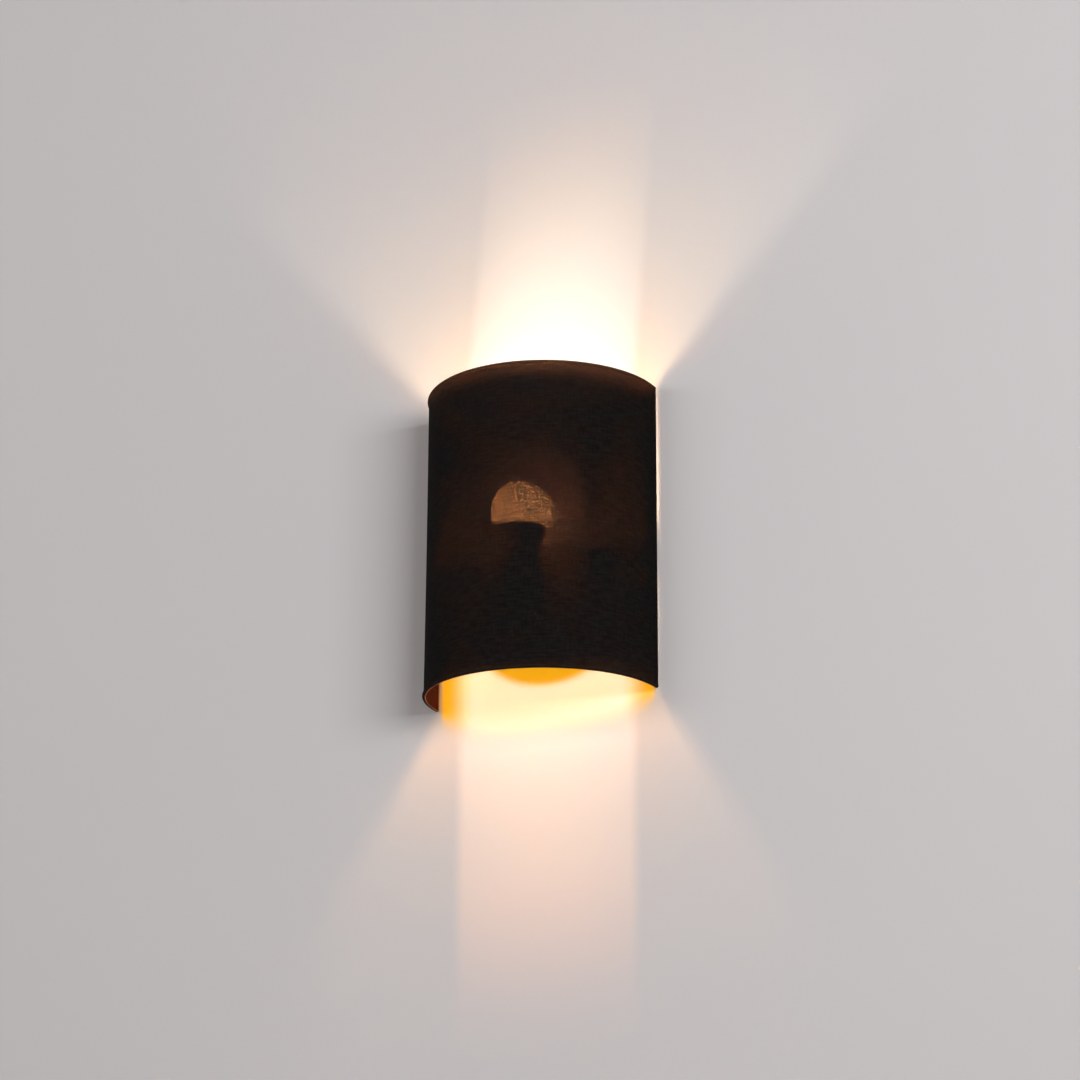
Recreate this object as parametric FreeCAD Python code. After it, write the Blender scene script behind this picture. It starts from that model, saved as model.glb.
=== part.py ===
import FreeCAD, Part
import math
import os

from FreeCAD import Vector

# Half-round fabric wall light. Millimetres. X to the right, Y into the wall, Z up.
# The origin is the middle of the box's back, on the wall. The room is at negative Y.

# Shade, outside sizes over the rolled rims
shade_width = 232.6
shade_height = 302.0
shade_wall_gap = 2.0
shade_return = 1.5
cloth_thickness = 0.5
liner_thickness = 0.4
liner_edge_gap = 0.2
hem_turn_in = 9.0
rim_wire_diameter = 2.5
end_wire_diameter = 2.0

# Flat arms between the wire frame and the box
arm_thickness = 1.2
arm_height = 30.0
arm_slot_width = 4.4
arm_slot_run = 7.0
arm_head_clearance = 3.0
arm_notch_clearance = 0.1

# Box and wall plate
box_width = 100.0
box_height = 210.0
box_depth = 25.0
box_sheet = 1.0
box_corner_radius = 2.0
plate_thickness = 1.5
plate_clearance = 1.0
tab_width = 20.0
tab_length = 14.0
tab_clearance = 0.1
cover_screw_from_wall = 9.0
cover_screw_length = 8.0
wall_slot_spacing_x = 60.0
wall_slot_spacing_z = 140.0
wall_slot_width = 5.0
wall_slot_length = 12.0
cable_bush_height = 40.0
cable_bush_bore = 5.0
cable_bush_wall = 1.0
cable_bush_flange = 2.0
cable_bush_flange_height = 2.0

# Screws, all M4 unless named
m4_radius = 2.0
thread_clearance = 0.05
m4_hole_clearance = 0.2
m4_head_radius = 3.9
m4_head_height = 2.4
m4_nut_across_flats = 7.0
m4_nut_height = 3.2
driver_slot_width = 1.0
driver_slot_depth = 1.0

# Thumb screws that clamp the shade's arms to the box's sides
thumb_screw_height = 0.0
thumb_screw_from_wall = 12.5
thumb_head_radius = 7.0
thumb_head_length = 8.0
thumb_neck_radius = 5.0
thumb_neck_length = 2.0
thumb_knurl_depth = 0.5
thumb_knurl_count = 30
thumb_shank_past_nut = 0.8
washer_radius = 6.0
washer_thickness = 0.8
slide_gap = 0.1

# Bulb
bulb_from_wall = 60.0
bulb_top_height = 50.5
bulb_length = 105.5
dome_diameter = 60.0
dome_wall = 1.5
bulb_base_top_radius = 24.72
bulb_base_wall = 1.5
bulb_base_waist_wall = 1.95
bulb_ledge_width = 1.5
bulb_neck_radius = 14.0
bulb_waist_draw = 1.6
bulb_cap_length = 27.0
led_board_thickness = 1.6
led_count = 12
led_size = 3.0
led_height = 0.7
led_from_board_edge = 7.86
driver_board_width = 16.0
driver_board_thickness = 1.2
driver_board_in_cap = 11.0
driver_part_radius = 3.5
driver_part_length = 12.0

# E27 screw cap and its shell in the holder
thread_pitch = 3.629
cap_core_radius = 12.1
cap_wall = 0.7
cap_rim_height = 2.0
cap_rim_step = 0.5
cap_shell_length = 22.0
cap_thread_start = 1.0
thread_height = 0.95
thread_root_width = 1.9
thread_crest_width = 0.8
thread_root_sink = 0.2
thread_clearance_radial = 0.35
cap_thread_turns = 4.5
holder_thread_turns = 4.0
insulator_height = 3.6
insulator_step = 0.2
insulator_in_cap = 1.0
insulator_foot_radius = 6.6
tip_radius = 4.75
tip_thickness = 1.8
tip_edge_round = 0.6
tip_play = 0.05

# Lamp holder
holder_radius = 18.0
holder_wall = 2.2
holder_mouth_gap = 2.0
holder_shell_wall = 0.6
holder_shell_floor_hole = 9.0
holder_shell_below_mouth = 1.0
contact_room = 1.5
contact_gap = 0.15
contact_thickness = 0.4
contact_width = 5.0
contact_flat_left = 1.5
contact_flat_right = 2.5
insert_thickness = 5.0
insert_clearance = 0.2
holder_cap_height = 18.5
holder_cap_straight = 8.0
holder_cap_wall = 1.5
holder_cap_step = 1.5
holder_cap_taper_rise = 1.0
holder_neck_radius = 8.5
terminal_width = 5.0
terminal_bore_depth = 4.0
terminal_spacing = 12.0
terminal_screw_radius = 1.5
terminal_screw_length = 4.5
nipple_radius = 5.0
nipple_bore = 3.9
nipple_in_cap = 6.0
nipple_past_floor = 0.5
nipple_past_nut = 1.0
nipple_nut_across_flats = 14.0
nipple_nut_height = 3.0

# Arm that carries the holder
holder_arm_width = 24.0
holder_arm_thickness = 2.0
holder_arm_leg = 30.0
holder_arm_nose = 12.0
arm_screw_spacing = 14.0
arm_screw_from_top = 12.0
arm_screw_length = 8.0

# Terminal block and earth
pole_count = 3
pole_pitch = 10.0
block_height = 18.0
block_depth = 14.0
block_tube_radius = 3.0
block_tube_bore = 1.7
block_tube_inset = 1.0
block_screw_radius = 1.5
block_screw_inset = 5.0
block_screw_depth = 1.5
block_fixing_well_radius = 2.6
block_fixing_head_radius = 2.4
block_fixing_head_height = 1.6
block_fixing_head_depth = 2.2
block_fixing_wall_gap = 0.2
block_corner_radius = 1.5
small_slot_width = 0.6
small_slot_depth = 0.8
earth_from_side = 20.0
earth_z = -34.0
earth_stud_length = 11.0
earth_lug_thickness = 0.8
earth_lug_radius = 4.2
earth_lug_neck_width = 3.2
earth_lug_neck_length = 2.0
earth_lug_overlap = 1.0
earth_lug_barrel = 9.0
earth_crimp_wall = 0.5
earth_washer_radius = 3.9
earth_washer_thickness = 0.8

# Leads
lead_radius = 1.2
lead_spacing = 2.7
lead_bend_radius = 10.0
lead_fan_radius = 3.2
lead_fan_start = 0.5
lead_fan_end = 2.5
lead_into_terminal = 3.0
lead_first_drop = 14.0
lead_meet_drop = 40.0
earth_lead_first_drop = 7.0
earth_lead_middle_drop = 9.0
earth_lead_last_drop = 4.0
lead_bush_bore = 3.4
lead_bush_wall = 1.4
lead_bush_flange = 1.6
lead_bush_flange_height = 1.2

# Worked out from the sizes above
UP = Vector(0, 0, 1)
DOWN = Vector(0, 0, -1)
TO_ROOM = Vector(0, -1, 0)
RIGHT = Vector(1, 0, 0)
SIDES = {"left": -1, "right": 1}
BIG = 4 * (shade_width + shade_height)

rim_wire_radius = rim_wire_diameter / 2
rim_roll_radius = rim_wire_radius + cloth_thickness
end_wire_radius = end_wire_diameter / 2
end_roll_radius = end_wire_radius + cloth_thickness
wire_line_radius = shade_width / 2 - rim_roll_radius
end_wire_y = -(shade_wall_gap + end_roll_radius)
arc_y = end_wire_y - shade_return
rim_z = shade_height / 2 - rim_roll_radius
cloth_outer_radius = wire_line_radius + (cloth_thickness + liner_thickness) / 2
liner_outer_radius = cloth_outer_radius - cloth_thickness
liner_inner_radius = liner_outer_radius - liner_thickness
turn_in_radius = liner_inner_radius - cloth_thickness

box_side = box_width / 2
box_end = box_height / 2
plate_side = box_side - box_sheet - plate_clearance
plate_end = box_end - box_sheet - tab_clearance

bulb_y = -bulb_from_wall
dome_radius = dome_diameter / 2
dome_centre_z = bulb_top_height - dome_radius
base_top_z = dome_centre_z - math.sqrt(dome_radius ** 2 - bulb_base_top_radius ** 2)
board_radius = bulb_base_top_radius - bulb_base_wall
board_under_z = base_top_z - led_board_thickness
tip_z = bulb_top_height - bulb_length
cap_top_z = tip_z + bulb_cap_length
cap_end_z = cap_top_z - cap_shell_length
cap_thread_start_z = cap_end_z + cap_thread_start
holder_thread_start_z = cap_thread_start_z + thread_pitch / 2
holder_mouth_z = cap_top_z - holder_mouth_gap
shell_inner_radius = cap_core_radius + thread_height + thread_clearance_radial
insert_top_z = tip_z - contact_room
insert_end_z = insert_top_z - insert_thickness
holder_inner_radius = holder_radius - holder_wall
cap_cavity_radius = holder_inner_radius - 2 * insert_clearance - holder_cap_step
holder_bottom_z = insert_end_z - holder_cap_height
nipple_top_z = holder_bottom_z + nipple_in_cap
arm_under_z = holder_bottom_z - holder_arm_thickness
nut_under_z = arm_under_z - nipple_nut_height
nipple_end_z = nut_under_z - nipple_past_nut
lead_run_z = nipple_end_z - lead_bend_radius
block_y = -(plate_thickness + block_depth / 2)
block_front_y = -(plate_thickness + block_depth)
block_length = pole_count * pole_pitch
earth_x = box_side - earth_from_side
earth_neck_top_z = earth_z + earth_lug_radius + earth_lug_neck_length
earth_barrel_y = -(plate_thickness + earth_lug_thickness + lead_radius + earth_crimp_wall)
arm_web_y = -(thumb_screw_from_wall + thumb_head_radius + arm_head_clearance)
arm_screw_z = holder_bottom_z + holder_arm_leg - arm_screw_from_top


def save(name, shape):
    """Check a piece and write its STEP file."""
    if shape.isNull() or not shape.isValid() or not shape.Solids:
        print("bad piece", name)
    shape.exportStep("parts/" + name + ".step")
    print(name, len(shape.Solids), round(shape.Volume, 1))


def joined(shapes):
    """One solid out of shapes that overlap or meet."""
    whole = shapes[0].fuse(shapes[1:]).removeSplitter()
    return whole.Solids[0] if len(whole.Solids) == 1 else whole


def group(shapes):
    """Like pieces that share one node but stay separate solids."""
    return Part.makeCompound(shapes)


def block(x_range, y_range, z_range):
    """Box between two values on each axis."""
    low = Vector(min(x_range), min(y_range), min(z_range))
    size = [abs(r[1] - r[0]) for r in (x_range, y_range, z_range)]
    return Part.makeBox(size[0], size[1], size[2], low)


def rod(radius, start, direction, length):
    """Round bar from a start point."""
    return Part.makeCylinder(radius, length, start, direction)


def pipe(outer, inner, start, direction, length):
    """Round tube from a start point."""
    return rod(outer, start, direction, length).cut(rod(inner, start, direction, length))


def hexagon(across_flats, start, direction, length):
    """Hexagonal bar from a start point."""
    corner = across_flats / math.sqrt(3)
    points = [Vector(corner * math.cos(math.radians(60 * i)), corner * math.sin(math.radians(60 * i)), 0)
              for i in range(7)]
    bar = Part.Face(Part.makePolygon(points)).extrude(Vector(0, 0, length))
    bar.Placement = FreeCAD.Placement(start, FreeCAD.Rotation(UP, direction))
    return bar


def turned(points):
    """Solid turned about the bulb's axis from radius and height pairs."""
    corners = [Vector(radius, bulb_y, height) for radius, height in points]
    face = Part.Face(Part.makePolygon(corners + corners[:1]))
    return face.revolve(Vector(0, bulb_y, 0), UP, 360)


def turned_edges(edges):
    """Solid turned about the bulb's axis from a closed loop of edges."""
    face = Part.Face(Part.Wire(edges))
    return face.revolve(Vector(0, bulb_y, 0), UP, 360)


def half_round_wall(outer, inner, back_y, z_low, z_high):
    """Upright wall with the shade's plan: a half round with straight returns, cut off at the back."""
    loops = []
    for radius in (outer, inner):
        right_end = Vector(radius, 0, z_low)
        right_arc = Vector(radius, arc_y, z_low)
        front = Vector(0, arc_y - radius, z_low)
        left_arc = Vector(-radius, arc_y, z_low)
        left_end = Vector(-radius, 0, z_low)
        loops.append((right_end, right_arc, front, left_arc, left_end))
    out, within = loops
    edges = [
        Part.makeLine(out[0], out[1]),
        Part.Arc(out[1], out[2], out[3]).toShape(),
        Part.makeLine(out[3], out[4]),
        Part.makeLine(out[4], within[4]),
        Part.makeLine(within[4], within[3]),
        Part.Arc(within[3], within[2], within[1]).toShape(),
        Part.makeLine(within[1], within[0]),
        Part.makeLine(within[0], out[0]),
    ]
    wall = Part.Face(Part.Wire(edges)).extrude(Vector(0, 0, z_high - z_low))
    return wall.cut(block((-BIG, BIG), (back_y, 1), (-BIG, BIG)))


def rim_rod(radius, back_y, height):
    """Round bar bent to the shade's plan at one height."""
    start = Vector(wire_line_radius, back_y, height)
    arc_start = Vector(wire_line_radius, arc_y, height)
    front = Vector(0, arc_y - wire_line_radius, height)
    arc_end = Vector(-wire_line_radius, arc_y, height)
    end = Vector(-wire_line_radius, back_y, height)
    path = Part.Wire([
        Part.makeLine(start, arc_start),
        Part.Arc(arc_start, front, arc_end).toShape(),
        Part.makeLine(arc_end, end),
    ])
    section = Part.Wire([Part.makeCircle(radius, start, TO_ROOM)])
    return path.makePipeShell([section], True, False)


def end_rod(radius, side):
    """Upright bar at one back edge of the shade."""
    return rod(radius, Vector(side * wire_line_radius, end_wire_y, -rim_z), UP, 2 * rim_z)


def arm_strip(side, grow):
    """Outer leg of an arm: a strip bent to lie against the shade's inside."""
    outer = wire_line_radius - end_wire_radius + grow
    inner = wire_line_radius - end_wire_radius - arm_thickness - grow
    half = arm_height / 2 + grow
    ring = half_round_wall(outer, inner, end_wire_y, thumb_screw_height - half, thumb_screw_height + half)
    reach = (0, side * BIG)
    return ring.common(block(reach, (arm_web_y - arm_thickness - grow, 0), (-BIG, BIG)))


def shade_arm(side):
    """Arm from the frame's end wire to a slotted flange on the box's side."""
    low = thumb_screw_height - arm_height / 2
    high = thumb_screw_height + arm_height / 2
    flange_x = box_side + slide_gap
    web = block((side * flange_x, side * BIG), (arm_web_y - arm_thickness, arm_web_y), (low, high))
    reach = wire_line_radius - end_wire_radius - arm_thickness / 2
    web = web.common(rod(reach, Vector(0, arc_y, low), UP, arm_height))
    slot_back_y = -thumb_screw_from_wall + arm_slot_run
    flange = block((side * flange_x, side * (flange_x + arm_thickness)),
                   (arm_web_y - arm_thickness, slot_back_y), (low, high))
    slot = block((side * (flange_x - 1), side * (flange_x + arm_thickness + 1)),
                 (-thumb_screw_from_wall, slot_back_y + 1),
                 (thumb_screw_height - arm_slot_width / 2, thumb_screw_height + arm_slot_width / 2))
    slot_middle = Vector(side * (flange_x - 1), -thumb_screw_from_wall, thumb_screw_height)
    slot_end = rod(arm_slot_width / 2, slot_middle, Vector(side, 0, 0), arm_thickness + 2)
    return joined([arm_strip(side, 0), web, flange]).cut(slot).cut(slot_end)


def shade_cloth(wires):
    """Cloth cover: the outer face, a roll round each wire, and the edges turned in."""
    face = half_round_wall(cloth_outer_radius, liner_outer_radius, end_wire_y, -rim_z, rim_z)
    turn_in = half_round_wall(liner_inner_radius, turn_in_radius, end_wire_y, -rim_z, rim_z)
    window = block((-BIG, BIG), (-BIG, end_wire_y - hem_turn_in), (-rim_z + hem_turn_in, rim_z - hem_turn_in))
    cloth = face
    for height in (rim_z, -rim_z):
        cloth = cloth.fuse(rim_rod(rim_roll_radius, -shade_wall_gap, height))
    for side in SIDES.values():
        cloth = cloth.fuse(end_rod(end_roll_radius, side))
    cloth = cloth.fuse(turn_in.cut(window))
    for wire in wires:
        cloth = cloth.cut(wire)
    for side in SIDES.values():
        cloth = cloth.cut(arm_strip(side, arm_notch_clearance))
    return cloth


def shade_liner():
    """Stiff lining between the cloth's face and its turned-in edges."""
    top = rim_z - rim_roll_radius - liner_edge_gap
    back_y = end_wire_y - end_roll_radius - liner_edge_gap
    liner = half_round_wall(liner_outer_radius, liner_inner_radius, back_y, -top, top)
    for side in SIDES.values():
        liner = liner.cut(arm_strip(side, arm_notch_clearance))
    return liner


def make_shade():
    """Wire frame, lining, cloth and arms."""
    top_wire = rim_rod(rim_wire_radius, end_wire_y, rim_z)
    bottom_wire = rim_rod(rim_wire_radius, end_wire_y, -rim_z)
    wires = [top_wire, bottom_wire]
    save("top_rim_wire", top_wire)
    save("bottom_rim_wire", bottom_wire)
    for name, side in SIDES.items():
        end_wire = end_rod(end_wire_radius, side).cut(top_wire).cut(bottom_wire)
        wires.append(end_wire)
        save(name + "_end_wire", end_wire)
        save(name + "_arm", shade_arm(side))
    save("shade_liner", shade_liner())
    save("shade_cloth", shade_cloth(wires))


def long_slot(x, z):
    """Cutter for one sideways slot through the wall plate."""
    straight = wall_slot_length - wall_slot_width
    radius = wall_slot_width / 2
    start_y = plate_thickness + 1
    cutter = block((x - straight / 2, x + straight / 2), (-start_y, start_y), (z - radius, z + radius))
    for end in (-1, 1):
        cutter = cutter.fuse(rod(radius, Vector(x + end * straight / 2, start_y, z), TO_ROOM, 2 * start_y))
    return cutter


def wall_plate():
    """Flat plate with wall slots, a cable hole and a tapped tab folded at each end."""
    pieces = [block((-plate_side, plate_side), (-plate_thickness, 0), (-plate_end, plate_end))]
    for end in (-1, 1):
        pieces.append(block((-tab_width / 2, tab_width / 2), (-tab_length, 0),
                            (end * plate_end, end * (plate_end - plate_thickness))))
    plate = joined(pieces)
    for end in (-1, 1):
        hole = Vector(0, -cover_screw_from_wall, end * (plate_end + 1))
        plate = plate.cut(rod(m4_radius + thread_clearance, hole, Vector(0, 0, -end), plate_thickness + 2))
    for x in (-wall_slot_spacing_x / 2, wall_slot_spacing_x / 2):
        for z in (-wall_slot_spacing_z / 2, wall_slot_spacing_z / 2):
            plate = plate.cut(long_slot(x, z))
    cable_hole = cable_bush_bore + cable_bush_wall
    plate = plate.cut(rod(cable_hole, Vector(0, 1, cable_bush_height), TO_ROOM, plate_thickness + 2))
    for x in block_fixing_places():
        plate = plate.cut(rod(block_screw_radius + thread_clearance, Vector(x, 1, 0), TO_ROOM,
                              plate_thickness + 2))
    plate = plate.cut(rod(m4_radius, Vector(earth_x, 1, earth_z), TO_ROOM, plate_thickness + 2))
    return plate


def box_cover():
    """Box over the plate, open at the back, with rounded front edges."""
    outer = block((-box_side, box_side), (-box_depth, 0), (-box_end, box_end))
    front_edges = [e for e in outer.Edges if min(v.Y for v in e.Vertexes) < -box_depth + 0.01]
    outer = outer.makeFillet(min(box_corner_radius, box_depth / 3), front_edges)
    inside = block((-box_side + box_sheet, box_side - box_sheet), (-box_depth + box_sheet, 1),
                   (-box_end + box_sheet, box_end - box_sheet))
    cover = outer.cut(inside)
    screw_hole = m4_radius + m4_hole_clearance
    cover = cover.cut(rod(screw_hole, Vector(0, -cover_screw_from_wall, -box_end - 1), UP, box_height + 2))
    cover = cover.cut(rod(screw_hole, Vector(-box_side - 1, -thumb_screw_from_wall, thumb_screw_height),
                          RIGHT, box_width + 2))
    for x in (-arm_screw_spacing / 2, arm_screw_spacing / 2):
        start = Vector(x, -box_depth - 1, arm_screw_z)
        cover = cover.cut(rod(screw_hole, start, Vector(0, 1, 0), box_sheet + 2))
    bush_hole = lead_bush_bore + lead_bush_wall
    return cover.cut(rod(bush_hole, Vector(0, -box_depth - 1, lead_run_z), Vector(0, 1, 0), box_sheet + 2))


def pan_screw(under_head, into, length):
    """Slotted pan-head M4 screw: the head stands back from the face it clamps."""
    back = Vector(into).multiply(-1)
    head = rod(m4_head_radius, under_head, back, m4_head_height)
    crown = [e for e in head.Edges if abs((e.CenterOfMass - under_head).dot(back) - m4_head_height) < 0.01]
    head = head.makeFillet(m4_head_height * 0.4, crown[:1])
    screw = joined([head, rod(m4_radius, under_head, into, length)])
    top = under_head + Vector(back).multiply(m4_head_height)
    width = m4_head_radius * 2 + 1
    slot = Part.makeBox(width, driver_slot_width, 2 * driver_slot_depth,
                        Vector(-width / 2, -driver_slot_width / 2, -driver_slot_depth))
    slot.Placement = FreeCAD.Placement(top, FreeCAD.Rotation(UP, back))
    return screw.cut(slot)


def block_fixing_places():
    """Where the terminal block's fixing screws stand, between the poles."""
    return [(i - (pole_count - 2) / 2) * pole_pitch for i in range(pole_count - 1)]


def pole_places():
    """Where the terminal block's poles stand."""
    return [(i - (pole_count - 1) / 2) * pole_pitch for i in range(pole_count)]


def terminal_block():
    """Block body with a bore per pole and a well over each screw."""
    half = block_length / 2
    body = block((-half, half), (block_front_y, -plate_thickness), (-block_height / 2, block_height / 2))
    edges = [e for e in body.Edges if all(v.Y < block_front_y + 0.01 for v in e.Vertexes)]
    body = body.makeFillet(block_corner_radius, edges)
    hole = block_screw_radius + thread_clearance
    for x in pole_places():
        body = body.cut(rod(block_tube_radius, Vector(x, block_y, -block_height), UP, 2 * block_height))
        for end in (-1, 1):
            well = Vector(x, block_front_y - 1, end * (block_height / 2 - block_screw_inset))
            body = body.cut(rod(hole, well, Vector(0, 1, 0), block_depth / 2 + 1))
    for x in block_fixing_places():
        start = Vector(x, block_front_y - 1, 0)
        body = body.cut(rod(hole, start, Vector(0, 1, 0), block_depth + 2))
        body = body.cut(rod(block_fixing_well_radius, start, Vector(0, 1, 0), 1 + block_fixing_head_depth))
    return body


def terminal_tube(x):
    """Brass clamp tube of one pole, tapped for its two screws."""
    half = block_height / 2 - block_tube_inset
    tube = pipe(block_tube_radius, block_tube_bore, Vector(x, block_y, -half), UP, 2 * half)
    for end in (-1, 1):
        hole = Vector(x, block_y - block_tube_radius - 1, end * (block_height / 2 - block_screw_inset))
        tube = tube.cut(rod(block_screw_radius, hole, Vector(0, 1, 0), block_tube_radius + 1))
    return tube


def terminal_screw(x, z):
    """Slotted grub screw that reaches into a clamp tube."""
    start_y = block_front_y + block_screw_depth
    length = abs(start_y - block_y) - lead_radius - slide_gap
    screw = rod(block_screw_radius, Vector(x, start_y, z), Vector(0, 1, 0), length)
    return screw.cut(small_slot(x, start_y, z, block_screw_radius))


def small_slot(x, y, z, reach):
    """Cutter for the driver slot of a small screw whose head faces the room."""
    half = small_slot_width / 2
    return block((x - reach, x + reach), (y, y + small_slot_depth), (z - half, z + half))


def block_fixing_screw(x):
    """Screw that holds the block to the plate."""
    under_y = block_front_y + block_fixing_head_depth
    top_y = under_y - block_fixing_head_height
    length = abs(under_y) - block_fixing_wall_gap
    head = rod(block_fixing_head_radius, Vector(x, top_y, 0), Vector(0, 1, 0), block_fixing_head_height)
    shank = rod(block_screw_radius, Vector(x, under_y, 0), Vector(0, 1, 0), length)
    return joined([head, shank]).cut(small_slot(x, top_y, 0, block_fixing_head_radius))


def route(points, largest_radius):
    """Wire of straight runs joined by arcs at the inner points."""
    edges = []
    here = points[0]
    for i in range(1, len(points) - 1):
        before = points[i] - points[i - 1]
        after = points[i + 1] - points[i]
        turn = before.getAngle(after)
        run = min(before.Length, after.Length)
        radius = min(largest_radius, 0.49 * run / math.tan(turn / 2))
        reach = radius * math.tan(turn / 2)
        start = points[i] - Vector(before).normalize().multiply(reach)
        end = points[i] + Vector(after).normalize().multiply(reach)
        inward = (Vector(after).normalize() - Vector(before).normalize()).normalize()
        middle = points[i] + inward.multiply(radius / math.cos(turn / 2) - radius)
        edges.append(Part.makeLine(here, start))
        edges.append(Part.Arc(start, middle, end).toShape())
        here = end
    edges.append(Part.makeLine(here, points[-1]))
    return Part.Wire(edges)


def lead(points, largest_radius):
    """Round insulated lead along a route."""
    path = route(points, largest_radius)
    section = Part.Wire([Part.makeCircle(lead_radius, points[0], points[1] - points[0])])
    tube = path.makePipeShell([section], True, False)
    expected = math.pi * lead_radius ** 2 * path.Length
    if abs(tube.Volume - expected) > 0.02 * expected:
        print("lead volume differs", tube.Volume, expected)
    return tube


def lamp_lead(pole_x, side):
    """Lead from a pole down the box, out of the bush and up into the holder."""
    run_x = side * lead_spacing / 2
    terminal_x = side * terminal_spacing / 2
    terminal_end_z = insert_end_z - terminal_width
    block_under_z = -block_height / 2
    lower = [
        Vector(pole_x, block_y, block_under_z + lead_into_terminal),
        Vector(pole_x, block_y, block_under_z - lead_first_drop),
        Vector(run_x, block_y, block_under_z - lead_meet_drop),
        Vector(run_x, block_y, lead_run_z),
        Vector(run_x, bulb_y, lead_run_z),
    ]
    upper = [
        Vector(run_x, bulb_y, nipple_top_z + lead_fan_start),
        Vector(terminal_x, bulb_y, terminal_end_z - lead_fan_end),
        Vector(terminal_x, bulb_y, terminal_end_z + lead_into_terminal),
    ]
    meet = (lower[-1] + upper[0]).multiply(0.5)
    return joined([lead(lower + [meet], lead_bend_radius), lead([meet] + upper, lead_fan_radius)])


def earth_lead():
    """Short lead from the earth pole to the lug on the stud."""
    block_under_z = -block_height / 2
    pole_x = pole_places()[-1]
    middle_x = (pole_x + earth_x) / 2
    middle_y = (block_y + earth_barrel_y) / 2
    points = [
        Vector(pole_x, block_y, block_under_z + lead_into_terminal),
        Vector(pole_x, block_y, block_under_z - earth_lead_first_drop),
        Vector(middle_x, middle_y, block_under_z - earth_lead_middle_drop),
        Vector(earth_x, earth_barrel_y, block_under_z - earth_lead_last_drop),
        Vector(earth_x, earth_barrel_y, earth_z + earth_lug_radius + earth_lug_barrel - lead_into_terminal),
    ]
    return lead(points, lead_bend_radius)


def earth_lug():
    """Ring tongue with a crimped barrel, flat on the plate."""
    back_y = -plate_thickness
    half = earth_lug_neck_width / 2
    sides = (earth_x - half, earth_x + half)
    barrel_low_z = earth_neck_top_z - earth_lug_overlap
    ring = rod(earth_lug_radius, Vector(earth_x, back_y, earth_z), TO_ROOM, earth_lug_thickness)
    neck = block(sides, (back_y, back_y - earth_lug_thickness), (earth_z, earth_neck_top_z))
    barrel = rod(lead_radius + earth_crimp_wall, Vector(earth_x, earth_barrel_y, barrel_low_z), UP,
                 earth_lug_barrel - earth_lug_overlap)
    bridge = block(sides, (back_y, earth_barrel_y), (barrel_low_z, earth_neck_top_z + earth_lug_overlap))
    lug = joined([ring, neck, bridge, barrel])
    lug = lug.cut(rod(m4_radius + m4_hole_clearance, Vector(earth_x, 1, earth_z), TO_ROOM, block_depth))
    lead_end_z = earth_z + earth_lug_radius + earth_lug_barrel - lead_into_terminal
    return lug.cut(rod(lead_radius, Vector(earth_x, earth_barrel_y, lead_end_z), UP, earth_lug_barrel))


def make_box():
    """Wall plate, cover and what is fixed to them."""
    save("wall_plate", wall_plate())
    save("box_cover", box_cover())
    screws = []
    for end, into in ((1, DOWN), (-1, UP)):
        screws.append(pan_screw(Vector(0, -cover_screw_from_wall, end * box_end), into, cover_screw_length))
    save("cover_screws", group(screws))
    hole = cable_bush_bore + cable_bush_wall
    bush = joined([
        pipe(hole, cable_bush_bore, Vector(0, 0, cable_bush_height), TO_ROOM, plate_thickness + 1),
        pipe(hole + cable_bush_flange, cable_bush_bore, Vector(0, -plate_thickness, cable_bush_height),
             TO_ROOM, cable_bush_flange_height),
    ])
    save("cable_bush", bush)
    nuts = []
    for side in SIDES.values():
        start = Vector(side * (box_side - box_sheet), -thumb_screw_from_wall, thumb_screw_height)
        inward = Vector(-side, 0, 0)
        nut = hexagon(m4_nut_across_flats, start, inward, m4_nut_height)
        nuts.append(nut.cut(rod(m4_radius + thread_clearance, start, inward, m4_nut_height)))
    save("weld_nuts", group(nuts))


def make_wiring():
    """Terminal block, earth fixing and leads inside the box."""
    save("terminal_block", terminal_block())
    save("terminal_tubes", group([terminal_tube(x) for x in pole_places()]))
    row_z = block_height / 2 - block_screw_inset
    save("terminal_screws", group([terminal_screw(x, z) for x in pole_places() for z in (-row_z, row_z)]))
    save("block_screws", group([block_fixing_screw(x) for x in block_fixing_places()]))
    stud = rod(m4_radius, Vector(earth_x, 0, earth_z), TO_ROOM, earth_stud_length)
    save("earth_stud", stud)
    save("earth_lug", earth_lug())
    washer_y = -(plate_thickness + earth_lug_thickness)
    hole = m4_radius + m4_hole_clearance
    save("earth_washer", pipe(earth_washer_radius, hole, Vector(earth_x, washer_y, earth_z), TO_ROOM,
                              earth_washer_thickness))
    nut_start = Vector(earth_x, washer_y - earth_washer_thickness, earth_z)
    nut = hexagon(m4_nut_across_flats, nut_start, TO_ROOM, m4_nut_height)
    save("earth_nut", nut.cut(rod(m4_radius, nut_start, TO_ROOM, m4_nut_height)))
    places = pole_places()
    save("live_lead", lamp_lead(places[0], -1))
    save("neutral_lead", lamp_lead(places[1], 1))
    save("earth_lead", earth_lead())
    hole = lead_bush_bore + lead_bush_wall
    front = Vector(0, -box_depth, lead_run_z)
    back = Vector(0, -box_depth + box_sheet, lead_run_z)
    bush = joined([
        pipe(hole, lead_bush_bore, back, TO_ROOM, box_sheet),
        pipe(hole + lead_bush_flange, lead_bush_bore, front, TO_ROOM, lead_bush_flange_height),
        pipe(hole + lead_bush_flange, lead_bush_bore, back, Vector(0, 1, 0), lead_bush_flange_height),
    ])
    save("lead_bush", bush)


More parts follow.
